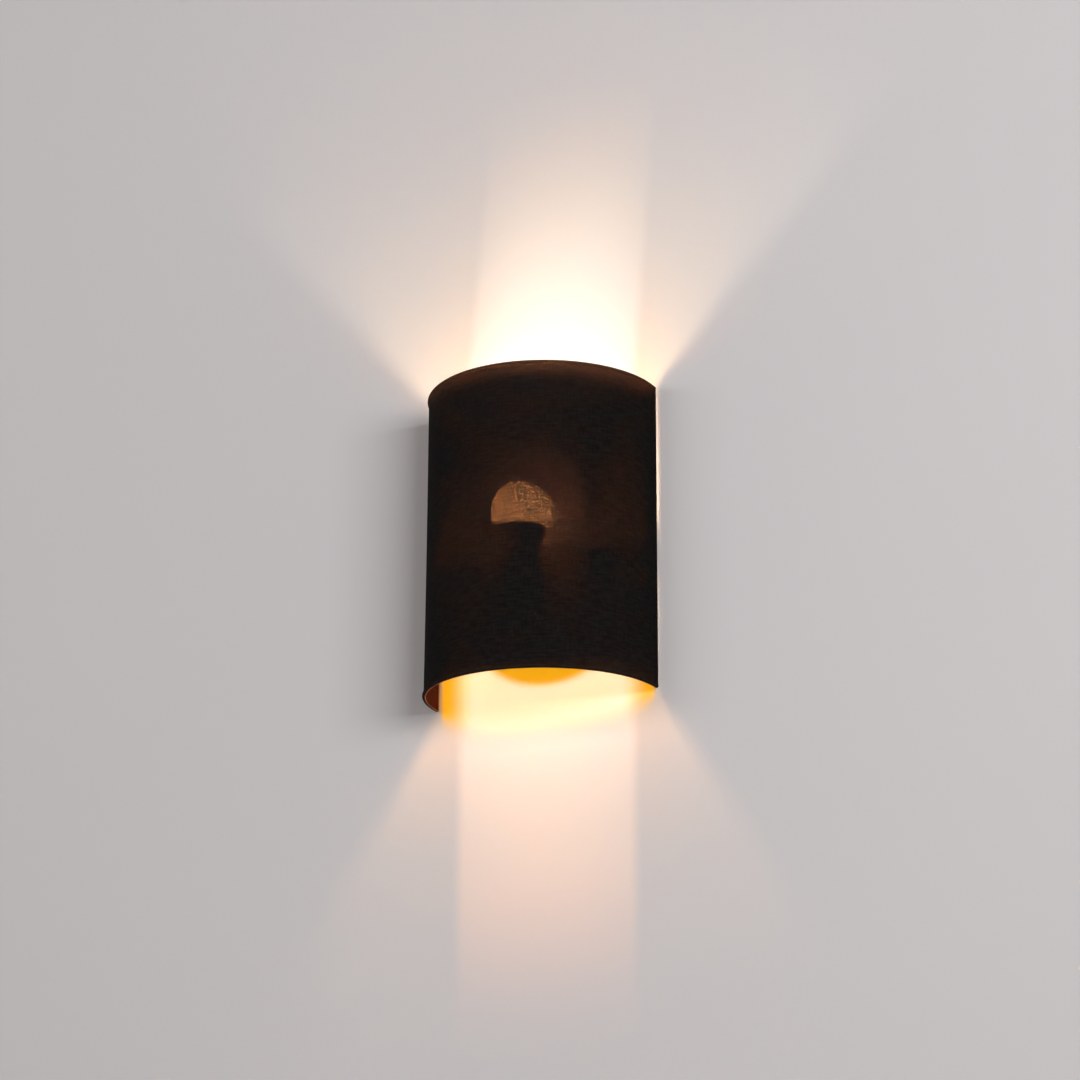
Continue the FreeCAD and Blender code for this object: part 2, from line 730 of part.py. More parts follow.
def holder_arm():
    """Angle arm: a leg on the box's front and a shelf under the holder."""
    half = holder_arm_width / 2
    leg = block((-half, half), (-box_depth - holder_arm_thickness, -box_depth),
                (arm_under_z, holder_bottom_z + holder_arm_leg))
    shelf = block((-half, half), (bulb_y, -box_depth), (arm_under_z, holder_bottom_z))
    nose = rod(holder_arm_nose, Vector(0, bulb_y, arm_under_z), UP, holder_arm_thickness)
    arm = joined([leg, shelf, nose])
    arm = arm.cut(rod(nipple_radius + thread_clearance, Vector(0, bulb_y, arm_under_z - 1), UP,
                      holder_arm_thickness + 2))
    for x in (-arm_screw_spacing / 2, arm_screw_spacing / 2):
        hole = Vector(x, -box_depth - holder_arm_thickness - 1, arm_screw_z)
        arm = arm.cut(rod(m4_radius + m4_hole_clearance, hole, Vector(0, 1, 0), holder_arm_thickness + 2))
    return arm


def holder_cap():
    """Lower half of the holder: a cup that narrows to a neck on the nipple."""
    straight_z = insert_end_z - holder_cap_straight
    floor_z = nipple_top_z - nipple_past_floor
    return turned([
        (nipple_radius, holder_bottom_z), (holder_neck_radius, holder_bottom_z),
        (holder_radius, straight_z), (holder_radius, insert_end_z),
        (cap_cavity_radius, insert_end_z), (cap_cavity_radius, straight_z + holder_cap_taper_rise),
        (holder_neck_radius - holder_cap_wall, floor_z), (nipple_radius, floor_z),
    ])


def helix_ridge(radius, inward, start_z, turns, height):
    """Screw ridge wound on the bulb's axis, out of or into a round wall."""
    sign = -1 if inward else 1
    spine = Part.makeHelix(thread_pitch, thread_pitch * turns, radius)
    root = radius - sign * thread_root_sink
    crest = radius + sign * height
    corners = [
        Vector(root, 0, -thread_root_width / 2), Vector(crest, 0, -thread_crest_width / 2),
        Vector(crest, 0, thread_crest_width / 2), Vector(root, 0, thread_root_width / 2),
    ]
    section = Part.makePolygon(corners + corners[:1])
    ridge = Part.Wire(spine.Edges).makePipeShell([section], True, True)
    ridge.translate(Vector(0, bulb_y, start_z))
    return ridge


def make_holder():
    """Arm, nipple and the E27 holder."""
    save("holder_arm", holder_arm())
    screws = []
    nuts = []
    for x in (-arm_screw_spacing / 2, arm_screw_spacing / 2):
        head = Vector(x, -box_depth - holder_arm_thickness, arm_screw_z)
        screws.append(pan_screw(head, Vector(0, 1, 0), arm_screw_length))
        start = Vector(x, -box_depth + box_sheet, arm_screw_z)
        nut = hexagon(m4_nut_across_flats, start, Vector(0, 1, 0), m4_nut_height)
        nuts.append(nut.cut(rod(m4_radius, start, Vector(0, 1, 0), m4_nut_height)))
    save("arm_screws", group(screws))
    save("arm_nuts", group(nuts))
    save("nipple", pipe(nipple_radius, nipple_bore, Vector(0, bulb_y, nipple_end_z), UP,
                        nipple_top_z - nipple_end_z))
    nut = hexagon(nipple_nut_across_flats, Vector(0, bulb_y, nut_under_z), UP, nipple_nut_height)
    save("nipple_nut", nut.cut(rod(nipple_radius, Vector(0, bulb_y, nut_under_z), UP, nipple_nut_height)))
    save("holder_cap", holder_cap())
    save("holder_skirt", pipe(holder_radius, holder_inner_radius, Vector(0, bulb_y, insert_end_z), UP,
                              holder_mouth_z - insert_end_z))
    save("holder_insert", holder_insert())
    save("holder_shell", holder_shell())
    save("centre_contact", centre_contact())
    terminals = []
    screws = []
    half = terminal_width / 2
    for x in (-terminal_spacing / 2, terminal_spacing / 2):
        low = insert_end_z - terminal_width
        body = block((x - half, x + half), (bulb_y - half, bulb_y + half), (low, insert_end_z))
        body = body.cut(rod(lead_radius, Vector(x, bulb_y, low), UP, terminal_bore_depth))
        hole = Vector(x, bulb_y - half, low + half)
        body = body.cut(rod(terminal_screw_radius, hole, Vector(0, 1, 0), half))
        terminals.append(body)
        start = Vector(x, bulb_y - lead_radius, low + half)
        screw = rod(terminal_screw_radius, start, TO_ROOM, terminal_screw_length)
        slot_y = bulb_y - lead_radius - terminal_screw_length
        screws.append(screw.cut(small_slot(x, slot_y, low + half, terminal_screw_radius)))
    save("holder_terminals", group(terminals))
    save("holder_terminal_screws", group(screws))


def holder_insert():
    """Ceramic disc that carries the contacts."""
    return rod(holder_inner_radius - insert_clearance, Vector(0, bulb_y, insert_end_z), UP, insert_thickness)


def holder_shell():
    """Threaded brass shell that the bulb's cap screws into."""
    outer = shell_inner_radius + holder_shell_wall
    top_z = holder_mouth_z - holder_shell_below_mouth
    tube = pipe(outer, shell_inner_radius, Vector(0, bulb_y, insert_top_z), UP, top_z - insert_top_z)
    floor = pipe(outer, holder_shell_floor_hole, Vector(0, bulb_y, insert_top_z), UP, holder_shell_wall)
    ridge = helix_ridge(shell_inner_radius, True, holder_thread_start_z, holder_thread_turns, thread_height)
    return joined([tube, floor, ridge])


def centre_contact():
    """Bent strip from the insert to just under the bulb's tip."""
    low = insert_top_z
    high = tip_z - contact_gap
    reach = holder_shell_floor_hole - 1
    left = -contact_flat_left
    right = contact_flat_right
    t = contact_thickness
    points = [
        (-reach, low), (-reach / 2, low), (left, high - t), (right, high - t),
        (right, high), (left - t / 2, high), (-reach / 2 - t / 2, low + t), (-reach, low + t),
    ]
    corners = [Vector(x, bulb_y - contact_width / 2, z) for x, z in points]
    return Part.Face(Part.makePolygon(corners + corners[:1])).extrude(Vector(0, contact_width, 0))


def bulb_dome():
    """Hollow diffuser: a ball cut off flat where it meets the base."""
    centre = Vector(0, bulb_y, dome_centre_z)
    shell = Part.makeSphere(dome_radius, centre).cut(Part.makeSphere(dome_radius - dome_wall, centre))
    return shell.common(rod(dome_diameter, Vector(0, bulb_y, base_top_z), UP, dome_diameter))


def bulb_base():
    """Opaque hollow cone under the dome, with a ledge for the board."""
    top = bulb_base_top_radius
    neck = bulb_neck_radius
    neck_inside = neck - bulb_base_wall
    ledge = board_radius - bulb_ledge_width
    waist = (top + neck) / 2 - bulb_waist_draw
    middle_z = (base_top_z + cap_top_z) / 2

    def at(radius, height):
        return Vector(radius, bulb_y, height)

    edges = [
        Part.Arc(at(top, base_top_z), at(waist, middle_z), at(neck, cap_top_z)).toShape(),
        Part.makeLine(at(neck, cap_top_z), at(neck_inside, cap_top_z)),
        Part.Arc(at(neck_inside, cap_top_z), at(waist - bulb_base_waist_wall, middle_z),
                 at(ledge, board_under_z)).toShape(),
        Part.makeLine(at(ledge, board_under_z), at(board_radius, board_under_z)),
        Part.makeLine(at(board_radius, board_under_z), at(board_radius, base_top_z)),
        Part.makeLine(at(board_radius, base_top_z), at(top, base_top_z)),
    ]
    return turned_edges(edges)


def bulb_cap():
    """Metal screw cap: a rim under the base, a thin wall and the wound thread."""
    core = cap_core_radius
    inner = core - cap_wall
    cap = turned([
        (inner, cap_end_z), (core, cap_end_z), (core, cap_top_z - cap_rim_height),
        (bulb_neck_radius - cap_rim_step, cap_top_z), (inner, cap_top_z),
    ])
    ridge = helix_ridge(core, False, cap_thread_start_z, cap_thread_turns, thread_height)
    return joined([cap, ridge])


def bulb_insulator():
    """Dark glass foot between the cap and the tip, with the tip's seat."""
    top = cap_core_radius - cap_wall
    foot_z = cap_end_z - insulator_height
    top_z = cap_end_z + insulator_in_cap
    foot = turned([
        (0, foot_z), (insulator_foot_radius, foot_z), (cap_core_radius - insulator_step, cap_end_z),
        (top, cap_end_z), (top, top_z), (0, top_z),
    ])
    seat = rod(tip_radius + tip_play, Vector(0, bulb_y, foot_z - 1), UP,
               1 + tip_z + tip_thickness - foot_z + tip_play)
    return foot.cut(seat)


def led_chips():
    """Light sources in a ring on the board."""
    chips = []
    half = led_size / 2
    ring = board_radius - led_from_board_edge
    for i in range(led_count):
        angle = 360.0 * i / led_count
        chip = block((ring - half, ring + half), (bulb_y - half, bulb_y + half),
                     (base_top_z, base_top_z + led_height))
        chip.rotate(Vector(0, bulb_y, 0), UP, angle)
        chips.append(chip)
    return group(chips)


def driver_board():
    """Upright board under the light board, with its largest part."""
    half = driver_board_width / 2
    board = block((-half, half), (bulb_y - driver_board_thickness / 2, bulb_y + driver_board_thickness / 2),
                  (cap_top_z - driver_board_in_cap, board_under_z))
    part = rod(driver_part_radius, Vector(0, bulb_y + driver_part_radius, cap_top_z), UP, driver_part_length)
    return joined([board, part])


def make_bulb():
    """The bulb's pieces, standing upright in the holder."""
    save("bulb_dome", bulb_dome())
    save("bulb_base", bulb_base())
    save("led_board", rod(board_radius, Vector(0, bulb_y, board_under_z), UP, led_board_thickness))
    save("led_chips", led_chips())
    save("driver_board", driver_board())
    save("bulb_cap", bulb_cap())
    save("bulb_insulator", bulb_insulator())
    tip = rod(tip_radius, Vector(0, bulb_y, tip_z), UP, tip_thickness)
    edge = [e for e in tip.Edges if abs(e.CenterOfMass.z - tip_z) < 0.01]
    save("bulb_tip", tip.makeFillet(tip_edge_round, edge[:1]))


def knurled_bar(radius, start, direction, length):
    """Round bar with pointed grooves cut round it."""
    points = []
    for i in range(2 * thumb_knurl_count):
        angle = math.pi * i / thumb_knurl_count
        reach = radius if i % 2 == 0 else radius - thumb_knurl_depth
        points.append(Vector(reach * math.cos(angle), reach * math.sin(angle), 0))
    bar = Part.Face(Part.makePolygon(points + points[:1])).extrude(Vector(0, 0, length))
    bar.Placement = FreeCAD.Placement(start, FreeCAD.Rotation(UP, direction))
    return bar


def make_thumb_screws():
    """Knurled screws and washers that clamp the arms to the box."""
    washer_x = box_side + 2 * slide_gap + arm_thickness
    head_x = washer_x + washer_thickness + slide_gap
    tip_x = box_side - box_sheet - m4_nut_height - thumb_shank_past_nut
    for name, side in SIDES.items():
        outward = Vector(side, 0, 0)

        def on_axis(x):
            return Vector(side * x, -thumb_screw_from_wall, thumb_screw_height)

        washer = pipe(washer_radius, m4_radius + 2 * thread_clearance, on_axis(washer_x), outward,
                      washer_thickness)
        save(name + "_washer", washer)
        screw = joined([
            rod(m4_radius, on_axis(tip_x), outward, head_x - tip_x),
            rod(thumb_neck_radius, on_axis(head_x), outward, thumb_neck_length),
            knurled_bar(thumb_head_radius, on_axis(head_x + thumb_neck_length), outward, thumb_head_length),
        ])
        save(name + "_thumb_screw", screw)


os.makedirs("parts", exist_ok=True)
make_box()
make_wiring()
make_holder()
make_bulb()
make_shade()
make_thumb_screws()
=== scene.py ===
import math

import bpy
from mathutils import Matrix, Vector


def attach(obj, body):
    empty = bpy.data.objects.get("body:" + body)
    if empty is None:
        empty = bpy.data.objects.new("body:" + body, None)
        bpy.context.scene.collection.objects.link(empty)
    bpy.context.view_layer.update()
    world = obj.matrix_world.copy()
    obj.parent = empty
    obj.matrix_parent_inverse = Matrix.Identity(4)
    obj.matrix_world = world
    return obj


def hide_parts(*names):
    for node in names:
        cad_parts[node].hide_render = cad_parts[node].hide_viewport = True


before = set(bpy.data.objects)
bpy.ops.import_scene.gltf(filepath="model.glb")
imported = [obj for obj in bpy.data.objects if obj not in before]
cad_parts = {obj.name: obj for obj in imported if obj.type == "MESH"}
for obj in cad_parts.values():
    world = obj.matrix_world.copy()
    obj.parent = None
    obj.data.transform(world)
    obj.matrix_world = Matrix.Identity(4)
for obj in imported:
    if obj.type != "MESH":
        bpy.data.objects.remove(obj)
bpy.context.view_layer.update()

scene = bpy.context.scene
scene.view_settings.view_transform = "Standard"
mm = 0.001


def linear(hexColour):  # sRGB hex to linear RGBA
    parts = [int(hexColour[i:i + 2], 16) / 255 for i in (1, 3, 5)]
    return tuple(p / 12.92 if p <= 0.04045 else ((p + 0.055) / 1.055) ** 2.4 for p in parts) + (1.0,)


def addNode(tree, kind, settings=None, inputs=None):  # inputs are values, sockets, or nodes for their first output
    node = tree.nodes.new(kind)
    for key, value in (settings or {}).items():
        setattr(node, key, value)
    for key, value in (inputs or {}).items():
        if isinstance(value, bpy.types.Node):
            value = next(socket for socket in value.outputs if socket.enabled)
        if isinstance(value, bpy.types.NodeSocket):
            tree.links.new(value, node.inputs[key])
        else:
            node.inputs[key].default_value = value
    return node


def between(start, end, first=0.0, last=1.0):  # inputs of a Map Range node
    return {"From Min": start, "From Max": end, "To Min": first, "To Max": last}


materials = {}


def newMaterial(name):  # keeps the material under its name and gives its empty tree
    material = bpy.data.materials.new(name)
    material.use_nodes = True
    material.node_tree.nodes.clear()
    materials[name] = material
    return material.node_tree


# settings that many nodes share
add, subtract, multiply, divide, largest, absolute, root, power = (
    {"operation": word} for word in ("ADD", "SUBTRACT", "MULTIPLY", "DIVIDE", "MAXIMUM", "ABSOLUTE", "SQRT", "POWER"))
smooth, colourMix = {"interpolation_type": "SMOOTHSTEP"}, {"data_type": "RGBA"}
colourTimes = {"data_type": "RGBA", "blend_type": "MULTIPLY"}


# camera: same place and lens as the photograph, from below and to the right
cameraSizes = {"distance": 2.703190, "azimuth": 0.418819, "elevation": -0.313002,
               "turn": 0.002695, "tip": -0.003662, "roll": 0.005313, "lens": 92.86, "sensor": 36.0}


def lookDirection(azimuth, elevation):
    flat = math.cos(elevation)
    return Vector((math.sin(azimuth) * flat, -math.cos(azimuth) * flat, math.sin(elevation)))


def makeCamera(s):
    back = lookDirection(s["azimuth"] + s["turn"], s["elevation"] + s["tip"])
    right = Vector((0, 0, 1)).cross(back).normalized()
    up = back.cross(right)
    across = math.cos(s["roll"]) * right + math.sin(s["roll"]) * up
    upright = math.cos(s["roll"]) * up - math.sin(s["roll"]) * right
    data = bpy.data.cameras.new("camera")
    data.lens = s["lens"]
    data.sensor_width = s["sensor"]
    data.clip_end = 50
    camera = bpy.data.objects.new("camera", data)
    scene.collection.objects.link(camera)
    place = lookDirection(s["azimuth"], s["elevation"]) * s["distance"]
    camera.matrix_world = Matrix.Translation(place) @ Matrix((across, upright, back)).transposed().to_4x4()
    scene.camera = camera


makeCamera(cameraSizes)
print("camera placed")


# room: a pale plastered wall, a pale floor far below, and soft lamps
roomSizes = {"wall": "#CDCCCC", "floor": "#D8D6D2", "sky": "#F2DCCB", "beyond": "#EDECEA", "wallGap": 0.6 * mm,
             "floorHeight": -1.7, "ceiling": 3.0, "halfWidth": 4.0, "floorDepth": 6.0, "skyLight": 0.40}
lampSizes = {
    "keyLamp": {"place": (2.09, -2.10, 0.02), "size": (1.36, 0.52), "power": 55, "colour": "#F9FAFF"},
    "fillLamp": {"place": (-1.77, -2.60, 0.44), "size": (1.64, 0.64), "power": 29, "colour": "#E9F3FF"},
    "backLamp": {"place": (-1.2, 2.6, 1.0), "size": (2.0, 2.0), "power": 30, "colour": "#FFFFFF"},
}


# pools of light on the wall: the film throws most of the bulb's light up and down in a column as wide as the bulb's
# image in it, which a path tracer mostly loses, so the wall gives that share off itself. A pair is where a fade starts
# and ends, in metres: across from the middle, out from a rim, or down from the middle of the shade
poolSizes = {
    "rim": 0.149, "columnEdge": (0.083, 0.099), "columnHalf": 0.092, "fanEdge": (0.100, 0.122), "fanEnd": (0.16, 0.40),
    "up": {"tip": 0.124, "column": (0.31, 0.42, 0.72), "fall": (0.70, 0.22, 0.108), "centre": 0.70,
           "fan": (0.15, 0.13, 0.10), "fanFall": 0.167, "end": (0.126, 0.386), "lean": 0.08, "start": (-0.004, 0.008)},
    "down": {"tip": 0.174, "column": (0.35, 0.318, 0.355), "fall": (0.70, 0.182, 0.085), "centre": 0.35,
             "fan": (0.41, 0.20, 0.080), "fanFall": 0.066, "end": (0.150, 0.345), "lean": 0.0, "start": (0.000, 0.052)},
    "gold": (0.50, 0.262, 0.0), "cream": (0.66, 0.59, 0.0), "creamBlue": (0.0, 0.0, 0.40), "paintedGoldLight": "#FFD35C",
    "warmEnd": (-0.002, 0.045), "blueEnd": (-0.006, 0.034), "underBox": (0.105, 0.112), "sideEdge": (0.108, 0.114),
    "creamEdge": (0.074, 0.105), "boxFoot": 0.085, "boxShade": (0.072, 0.050), "boxEdge": (0.90, 1.10),
    "over": (0.68, 0.80), "overReach": 0.2, "overSamples": 24,
}


def addPool(tree, split, across, s, pool, sign):  # a column of light past a rim, with a fan at each side of it
    level = addNode(tree, "ShaderNodeMath", multiply, {0: split.outputs["Z"], 1: sign})
    beyond = addNode(tree, "ShaderNodeMath", subtract, {0: level, 1: s["rim"]})
    away = addNode(tree, "ShaderNodeMath", largest, {0: beyond, 1: 0.0})
    leant = addNode(tree, "ShaderNodeMath", multiply, {0: away, 1: pool["lean"]})
    middle = addNode(tree, "ShaderNodeMath", subtract, {0: split.outputs["X"], 1: leant})
    middle = addNode(tree, "ShaderNodeMath", absolute, {0: middle})
    share = addNode(tree, "ShaderNodeMath", divide, {0: middle, 1: s["columnHalf"]})
    share = addNode(tree, "ShaderNodeMath", multiply, {0: share, 1: share})
    crown = addNode(tree, "ShaderNodeMath", subtract, {0: 1.0, 1: share})
    crown = addNode(tree, "ShaderNodeMath", multiply, {0: crown, 1: pool["centre"]})
    body = addNode(tree, "ShaderNodeMath", add, {0: crown, 1: 1 - pool["centre"]})
    body = addNode(tree, "ShaderNodeMath", largest, {0: body, 1: 0.0})
    column = addNode(tree, "ShaderNodeMapRange", smooth, {"Value": middle, **between(*s["columnEdge"], 1.0, 0.0)})
    end = addNode(tree, "ShaderNodeMapRange", smooth, {"Value": away, **between(*pool["end"], 1.0, 0.0)})
    shape = addNode(tree, "ShaderNodeMath", multiply, {0: column, 1: body})
    shape = addNode(tree, "ShaderNodeMath", multiply, {0: shape, 1: end})
    colour = {}
    for part, strength, fall in zip("XYZ", pool["column"], pool["fall"]):
        fade = addNode(tree, "ShaderNodeMath", multiply, {0: away, 1: -1 / fall})
        fade = addNode(tree, "ShaderNodeMath", {"operation": "EXPONENT"}, {0: fade})
        fade = addNode(tree, "ShaderNodeMath", multiply, {0: fade, 1: strength})
        colour[part] = addNode(tree, "ShaderNodeMath", multiply, {0: fade, 1: shape})
    beam = addNode(tree, "ShaderNodeCombineXYZ", inputs=colour)
    widening = addNode(tree, "ShaderNodeMath", divide, {0: away, 1: pool["tip"]})
    widening = addNode(tree, "ShaderNodeMath", add, {0: widening, 1: 1.0})
    spread = addNode(tree, "ShaderNodeMath", divide, {0: across, 1: widening})
    fanSide = addNode(tree, "ShaderNodeMapRange", smooth, {"Value": spread, **between(*s["fanEdge"], 1.0, 0.0)})
    fanEnd = addNode(tree, "ShaderNodeMapRange", smooth, {"Value": away, **between(*s["fanEnd"], 1.0, 0.0)})
    fan = addNode(tree, "ShaderNodeMath", multiply, {0: fanSide, 1: fanEnd})
    fade = addNode(tree, "ShaderNodeMath", multiply, {0: away, 1: -1 / pool["fanFall"]})
    fade = addNode(tree, "ShaderNodeMath", {"operation": "EXPONENT"}, {0: fade})
    fan = addNode(tree, "ShaderNodeMath", multiply, {0: fan, 1: fade})
    fan = addNode(tree, "ShaderNodeVectorMath", {"operation": "SCALE"}, {0: pool["fan"], "Scale": fan})
    both = addNode(tree, "ShaderNodeVectorMath", add, {0: beam, 1: fan})
    start = addNode(tree, "ShaderNodeMapRange", smooth, {"Value": beyond, **between(*pool["start"])})
    return addNode(tree, "ShaderNodeVectorMath", {"operation": "SCALE"}, {0: both, "Scale": start})


# between the rims, as it shows under the box: gold in the shadows of the box and of the shade's ends, cream elsewhere
def addInnerLight(tree, split, across, s):
    below = addNode(tree, "ShaderNodeMath", multiply, {0: split.outputs["Z"], 1: -1.0})
    beyond = addNode(tree, "ShaderNodeMath", subtract, {0: below, 1: s["rim"]})
    under = addNode(tree, "ShaderNodeMapRange", smooth, {"Value": below, **between(*s["underBox"])})
    warm = addNode(tree, "ShaderNodeMapRange", smooth, {"Value": beyond, **between(*s["warmEnd"], 1.0, 0.0)})
    warm = addNode(tree, "ShaderNodeMath", multiply, {0: warm, 1: under})
    blue = addNode(tree, "ShaderNodeMapRange", smooth, {"Value": beyond, **between(*s["blueEnd"], 1.0, 0.0)})
    blue = addNode(tree, "ShaderNodeMath", multiply, {0: blue, 1: under})
    boxAcross = addNode(tree, "ShaderNodeMath", divide, {0: across, 1: s["boxShade"][0]})
    boxAcross = addNode(tree, "ShaderNodeMath", multiply, {0: boxAcross, 1: boxAcross})
    boxBelow = addNode(tree, "ShaderNodeMath", subtract, {0: below, 1: s["boxFoot"]})
    boxBelow = addNode(tree, "ShaderNodeMath", divide, {0: boxBelow, 1: s["boxShade"][1]})
    boxBelow = addNode(tree, "ShaderNodeMath", multiply, {0: boxBelow, 1: boxBelow})
    boxAway = addNode(tree, "ShaderNodeMath", add, {0: boxAcross, 1: boxBelow})
    boxAway = addNode(tree, "ShaderNodeMath", root, {0: boxAway})
    creamSide = addNode(tree, "ShaderNodeMapRange", smooth, {"Value": across, **between(*s["creamEdge"], 1.0, 0.0)})
    boxSide = addNode(tree, "ShaderNodeMapRange", smooth, {"Value": boxAway, **between(*s["boxEdge"])})
    creamPart = addNode(tree, "ShaderNodeMath", multiply, {0: creamSide, 1: boxSide})
    sides = addNode(tree, "ShaderNodeMapRange", smooth, {"Value": across, **between(*s["sideEdge"], 1.0, 0.0)})
    openPart = addNode(tree, "ShaderNodeMath", multiply, {0: warm, 1: sides})
    notCream = addNode(tree, "ShaderNodeMath", subtract, {0: 1.0, 1: creamPart})
    goldPart = addNode(tree, "ShaderNodeMath", multiply, {0: openPart, 1: notCream})
    warmCream = addNode(tree, "ShaderNodeMath", multiply, {0: openPart, 1: creamPart})
    blueCream = addNode(tree, "ShaderNodeMath", multiply, {0: blue, 1: sides})
    blueCream = addNode(tree, "ShaderNodeMath", multiply, {0: blueCream, 1: creamPart})
    inner = None
    for name, amount in (("gold", goldPart), ("cream", warmCream), ("creamBlue", blueCream)):
        tinted = addNode(tree, "ShaderNodeVectorMath", {"operation": "SCALE"}, {0: s[name], "Scale": amount})
        inner = addNode(tree, "ShaderNodeVectorMath", add, {0: inner, 1: tinted}) if inner else tinted
    zone = addNode(tree, "ShaderNodeMath", add, {0: openPart, 1: blue})
    zone = addNode(tree, "ShaderNodeMath", {"operation": "GREATER_THAN"}, {0: zone, 1: 0.0})
    return inner, goldPart, zone


# painted plaster: matt, with broad faint patches and a fine roller grain. The floor's paint is the same
plasterSizes = {"patches": 2.2, "drift": 0.015, "grain": 260.0, "bump": 0.06, "bumpDepth": 0.4 * mm}


def makeStageMaterial(name, colour, s, wallGap=None):
    tree = newMaterial(name)
    place = addNode(tree, "ShaderNodeTexCoord").outputs["Object"]
    patches = addNode(tree, "ShaderNodeTexNoise", inputs={"Vector": place, "Scale": s["patches"], "Detail": 3.0})
    shade = addNode(tree, "ShaderNodeMapRange", inputs={
        "Value": patches, **between(0.0, 1.0, 1 - s["drift"], 1 + s["drift"])})
    tone = addNode(tree, "ShaderNodeMix", colourTimes, {"Factor": 1.0, "A": linear(colour), "B": shade})
    grain = addNode(tree, "ShaderNodeTexNoise", inputs={"Vector": place, "Scale": s["grain"], "Detail": 2.0})
    bump = addNode(tree, "ShaderNodeBump", inputs={"Height": grain, "Strength": s["bump"], "Distance": s["bumpDepth"]})
    surface = addNode(tree, "ShaderNodeBsdfDiffuse", inputs={"Color": tone, "Roughness": 1.0, "Normal": bump})
    if wallGap:
        surface = addWallLight(tree, place, tone, bump, surface, poolSizes, wallGap)
    addNode(tree, "ShaderNodeOutputMaterial", inputs={"Surface": surface})
    return materials[name]


def addWallLight(tree, place, tone, bump, matt, s, gap):
    split = addNode(tree, "ShaderNodeSeparateXYZ", inputs={0: place})
    across = addNode(tree, "ShaderNodeMath", absolute, {0: split.outputs["X"]})
    pools = addNode(tree, "ShaderNodeVectorMath", add, {0: addPool(tree, split, across, s, s["up"], 1.0),
                                                        1: addPool(tree, split, across, s, s["down"], -1.0)})
    inner, goldPart, zone = addInnerLight(tree, split, across, s)
    # painted light: the wall's own colour is tinted gold where the film's gold light falls under the box and by the
    # shade's ends
    goldLitWall = addNode(tree, "ShaderNodeMix", colourTimes, {"Factor": goldPart, "A": tone, "B": linear(s["paintedGoldLight"])})
    golden = addNode(tree, "ShaderNodeBsdfDiffuse", inputs={"Color": goldLitWall, "Roughness": 1.0, "Normal": bump})
    innerGlow = addNode(tree, "ShaderNodeEmission", inputs={"Color": inner, "Strength": 1.0})
    golden = addNode(tree, "ShaderNodeAddShader", inputs={0: golden, 1: innerGlow})
    # the light between the rims shows only while the shade is over it
    openness = addNode(tree, "ShaderNodeAmbientOcclusion", {"samples": s["overSamples"]}, {"Distance": s["overReach"]})
    over = addNode(tree, "ShaderNodeMapRange", inputs={
        "Value": openness.outputs["AO"], **between(*s["over"], 1.0, 0.0)})
    golden = addNode(tree, "ShaderNodeMixShader", inputs={0: over, 1: matt, 2: golden})
    surface = addNode(tree, "ShaderNodeMixShader", inputs={0: zone, 1: matt, 2: golden})
    glow = addNode(tree, "ShaderNodeEmission", inputs={"Color": pools, "Strength": 1.0})
    surface = addNode(tree, "ShaderNodeAddShader", inputs={0: surface, 1: glow})
    # the wall shows only from the room, so that the light can be seen from behind
    clear = addNode(tree, "ShaderNodeBsdfTransparent")
    behind = addNode(tree, "ShaderNodeNewGeometry").outputs["Backfacing"]
    surface = addNode(tree, "ShaderNodeMixShader", inputs={0: behind, 1: surface, 2: clear})
    # the back lamp reaches the wall plate's back, which lies just in front of the wall
    path = addNode(tree, "ShaderNodeLightPath")
    near = addNode(tree, "ShaderNodeMath", {"operation": "LESS_THAN"}, {0: path.outputs["Ray Length"], 1: 3 * gap})
    near = addNode(tree, "ShaderNodeMath", multiply, {0: near, 1: path.outputs["Is Shadow Ray"]})
    return addNode(tree, "ShaderNodeMixShader", inputs={0: near, 1: surface, 2: clear})


def makePanel(name, corners, material):
    mesh = bpy.data.meshes.new(name)
    mesh.from_pydata(corners, [], [range(len(corners))])
    mesh.materials.append(material)
    panel = bpy.data.objects.new(name, mesh)
    scene.collection.objects.link(panel)


def makeRoom(s):
    low, high, half, gap, depth = s["floorHeight"], s["ceiling"], s["halfWidth"], s["wallGap"], s["floorDepth"]
    makePanel("roomWall", [(-half, gap, low), (half, gap, low), (half, gap, high), (-half, gap, high)],
              makeStageMaterial("paintedPlaster", s["wall"], plasterSizes, gap))
    makePanel("roomFloor", [(-half, -depth, low), (half, -depth, low), (half, depth, low), (-half, depth, low)],
              makeStageMaterial("paleFloor", s["floor"], plasterSizes))
    world = bpy.data.worlds.new("room")
    scene.world = world
    world.use_nodes = True
    tree = world.node_tree
    tree.nodes.clear()
    sky = addNode(tree, "ShaderNodeBackground", inputs={"Color": linear(s["sky"]), "Strength": s["skyLight"]})
    seen = addNode(tree, "ShaderNodeBackground", inputs={"Color": linear(s["beyond"]), "Strength": 1.0})
    path = addNode(tree, "ShaderNodeLightPath")  # metal shows what the camera sees
    isSeen = path.outputs["Is Camera Ray"]
    for kind in ("Is Glossy Ray", "Is Transmission Ray"):
        isSeen = addNode(tree, "ShaderNodeMath", largest, {0: isSeen, 1: path.outputs[kind]})
    both = addNode(tree, "ShaderNodeMixShader", inputs={0: isSeen, 1: sky, 2: seen})
    addNode(tree, "ShaderNodeOutputWorld", inputs={"Surface": both})


def makeLamps(lamps):
    for name, s in lamps.items():
        data = bpy.data.lights.new(name, "AREA")
        data.shape = "RECTANGLE"
        data.size, data.size_y = s["size"]
        data.energy = s["power"]
        data.color = linear(s["colour"])[:3]
        lamp = bpy.data.objects.new(name, data)
        scene.collection.objects.link(lamp)
        lamp.location = s["place"]
        lamp.rotation_mode = "QUATERNION"
        lamp.rotation_quaternion = (-Vector(s["place"])).to_track_quat("-Z", "Y")


makeRoom(roomSizes)
makeLamps(lampSizes)
print("room and lamps made")


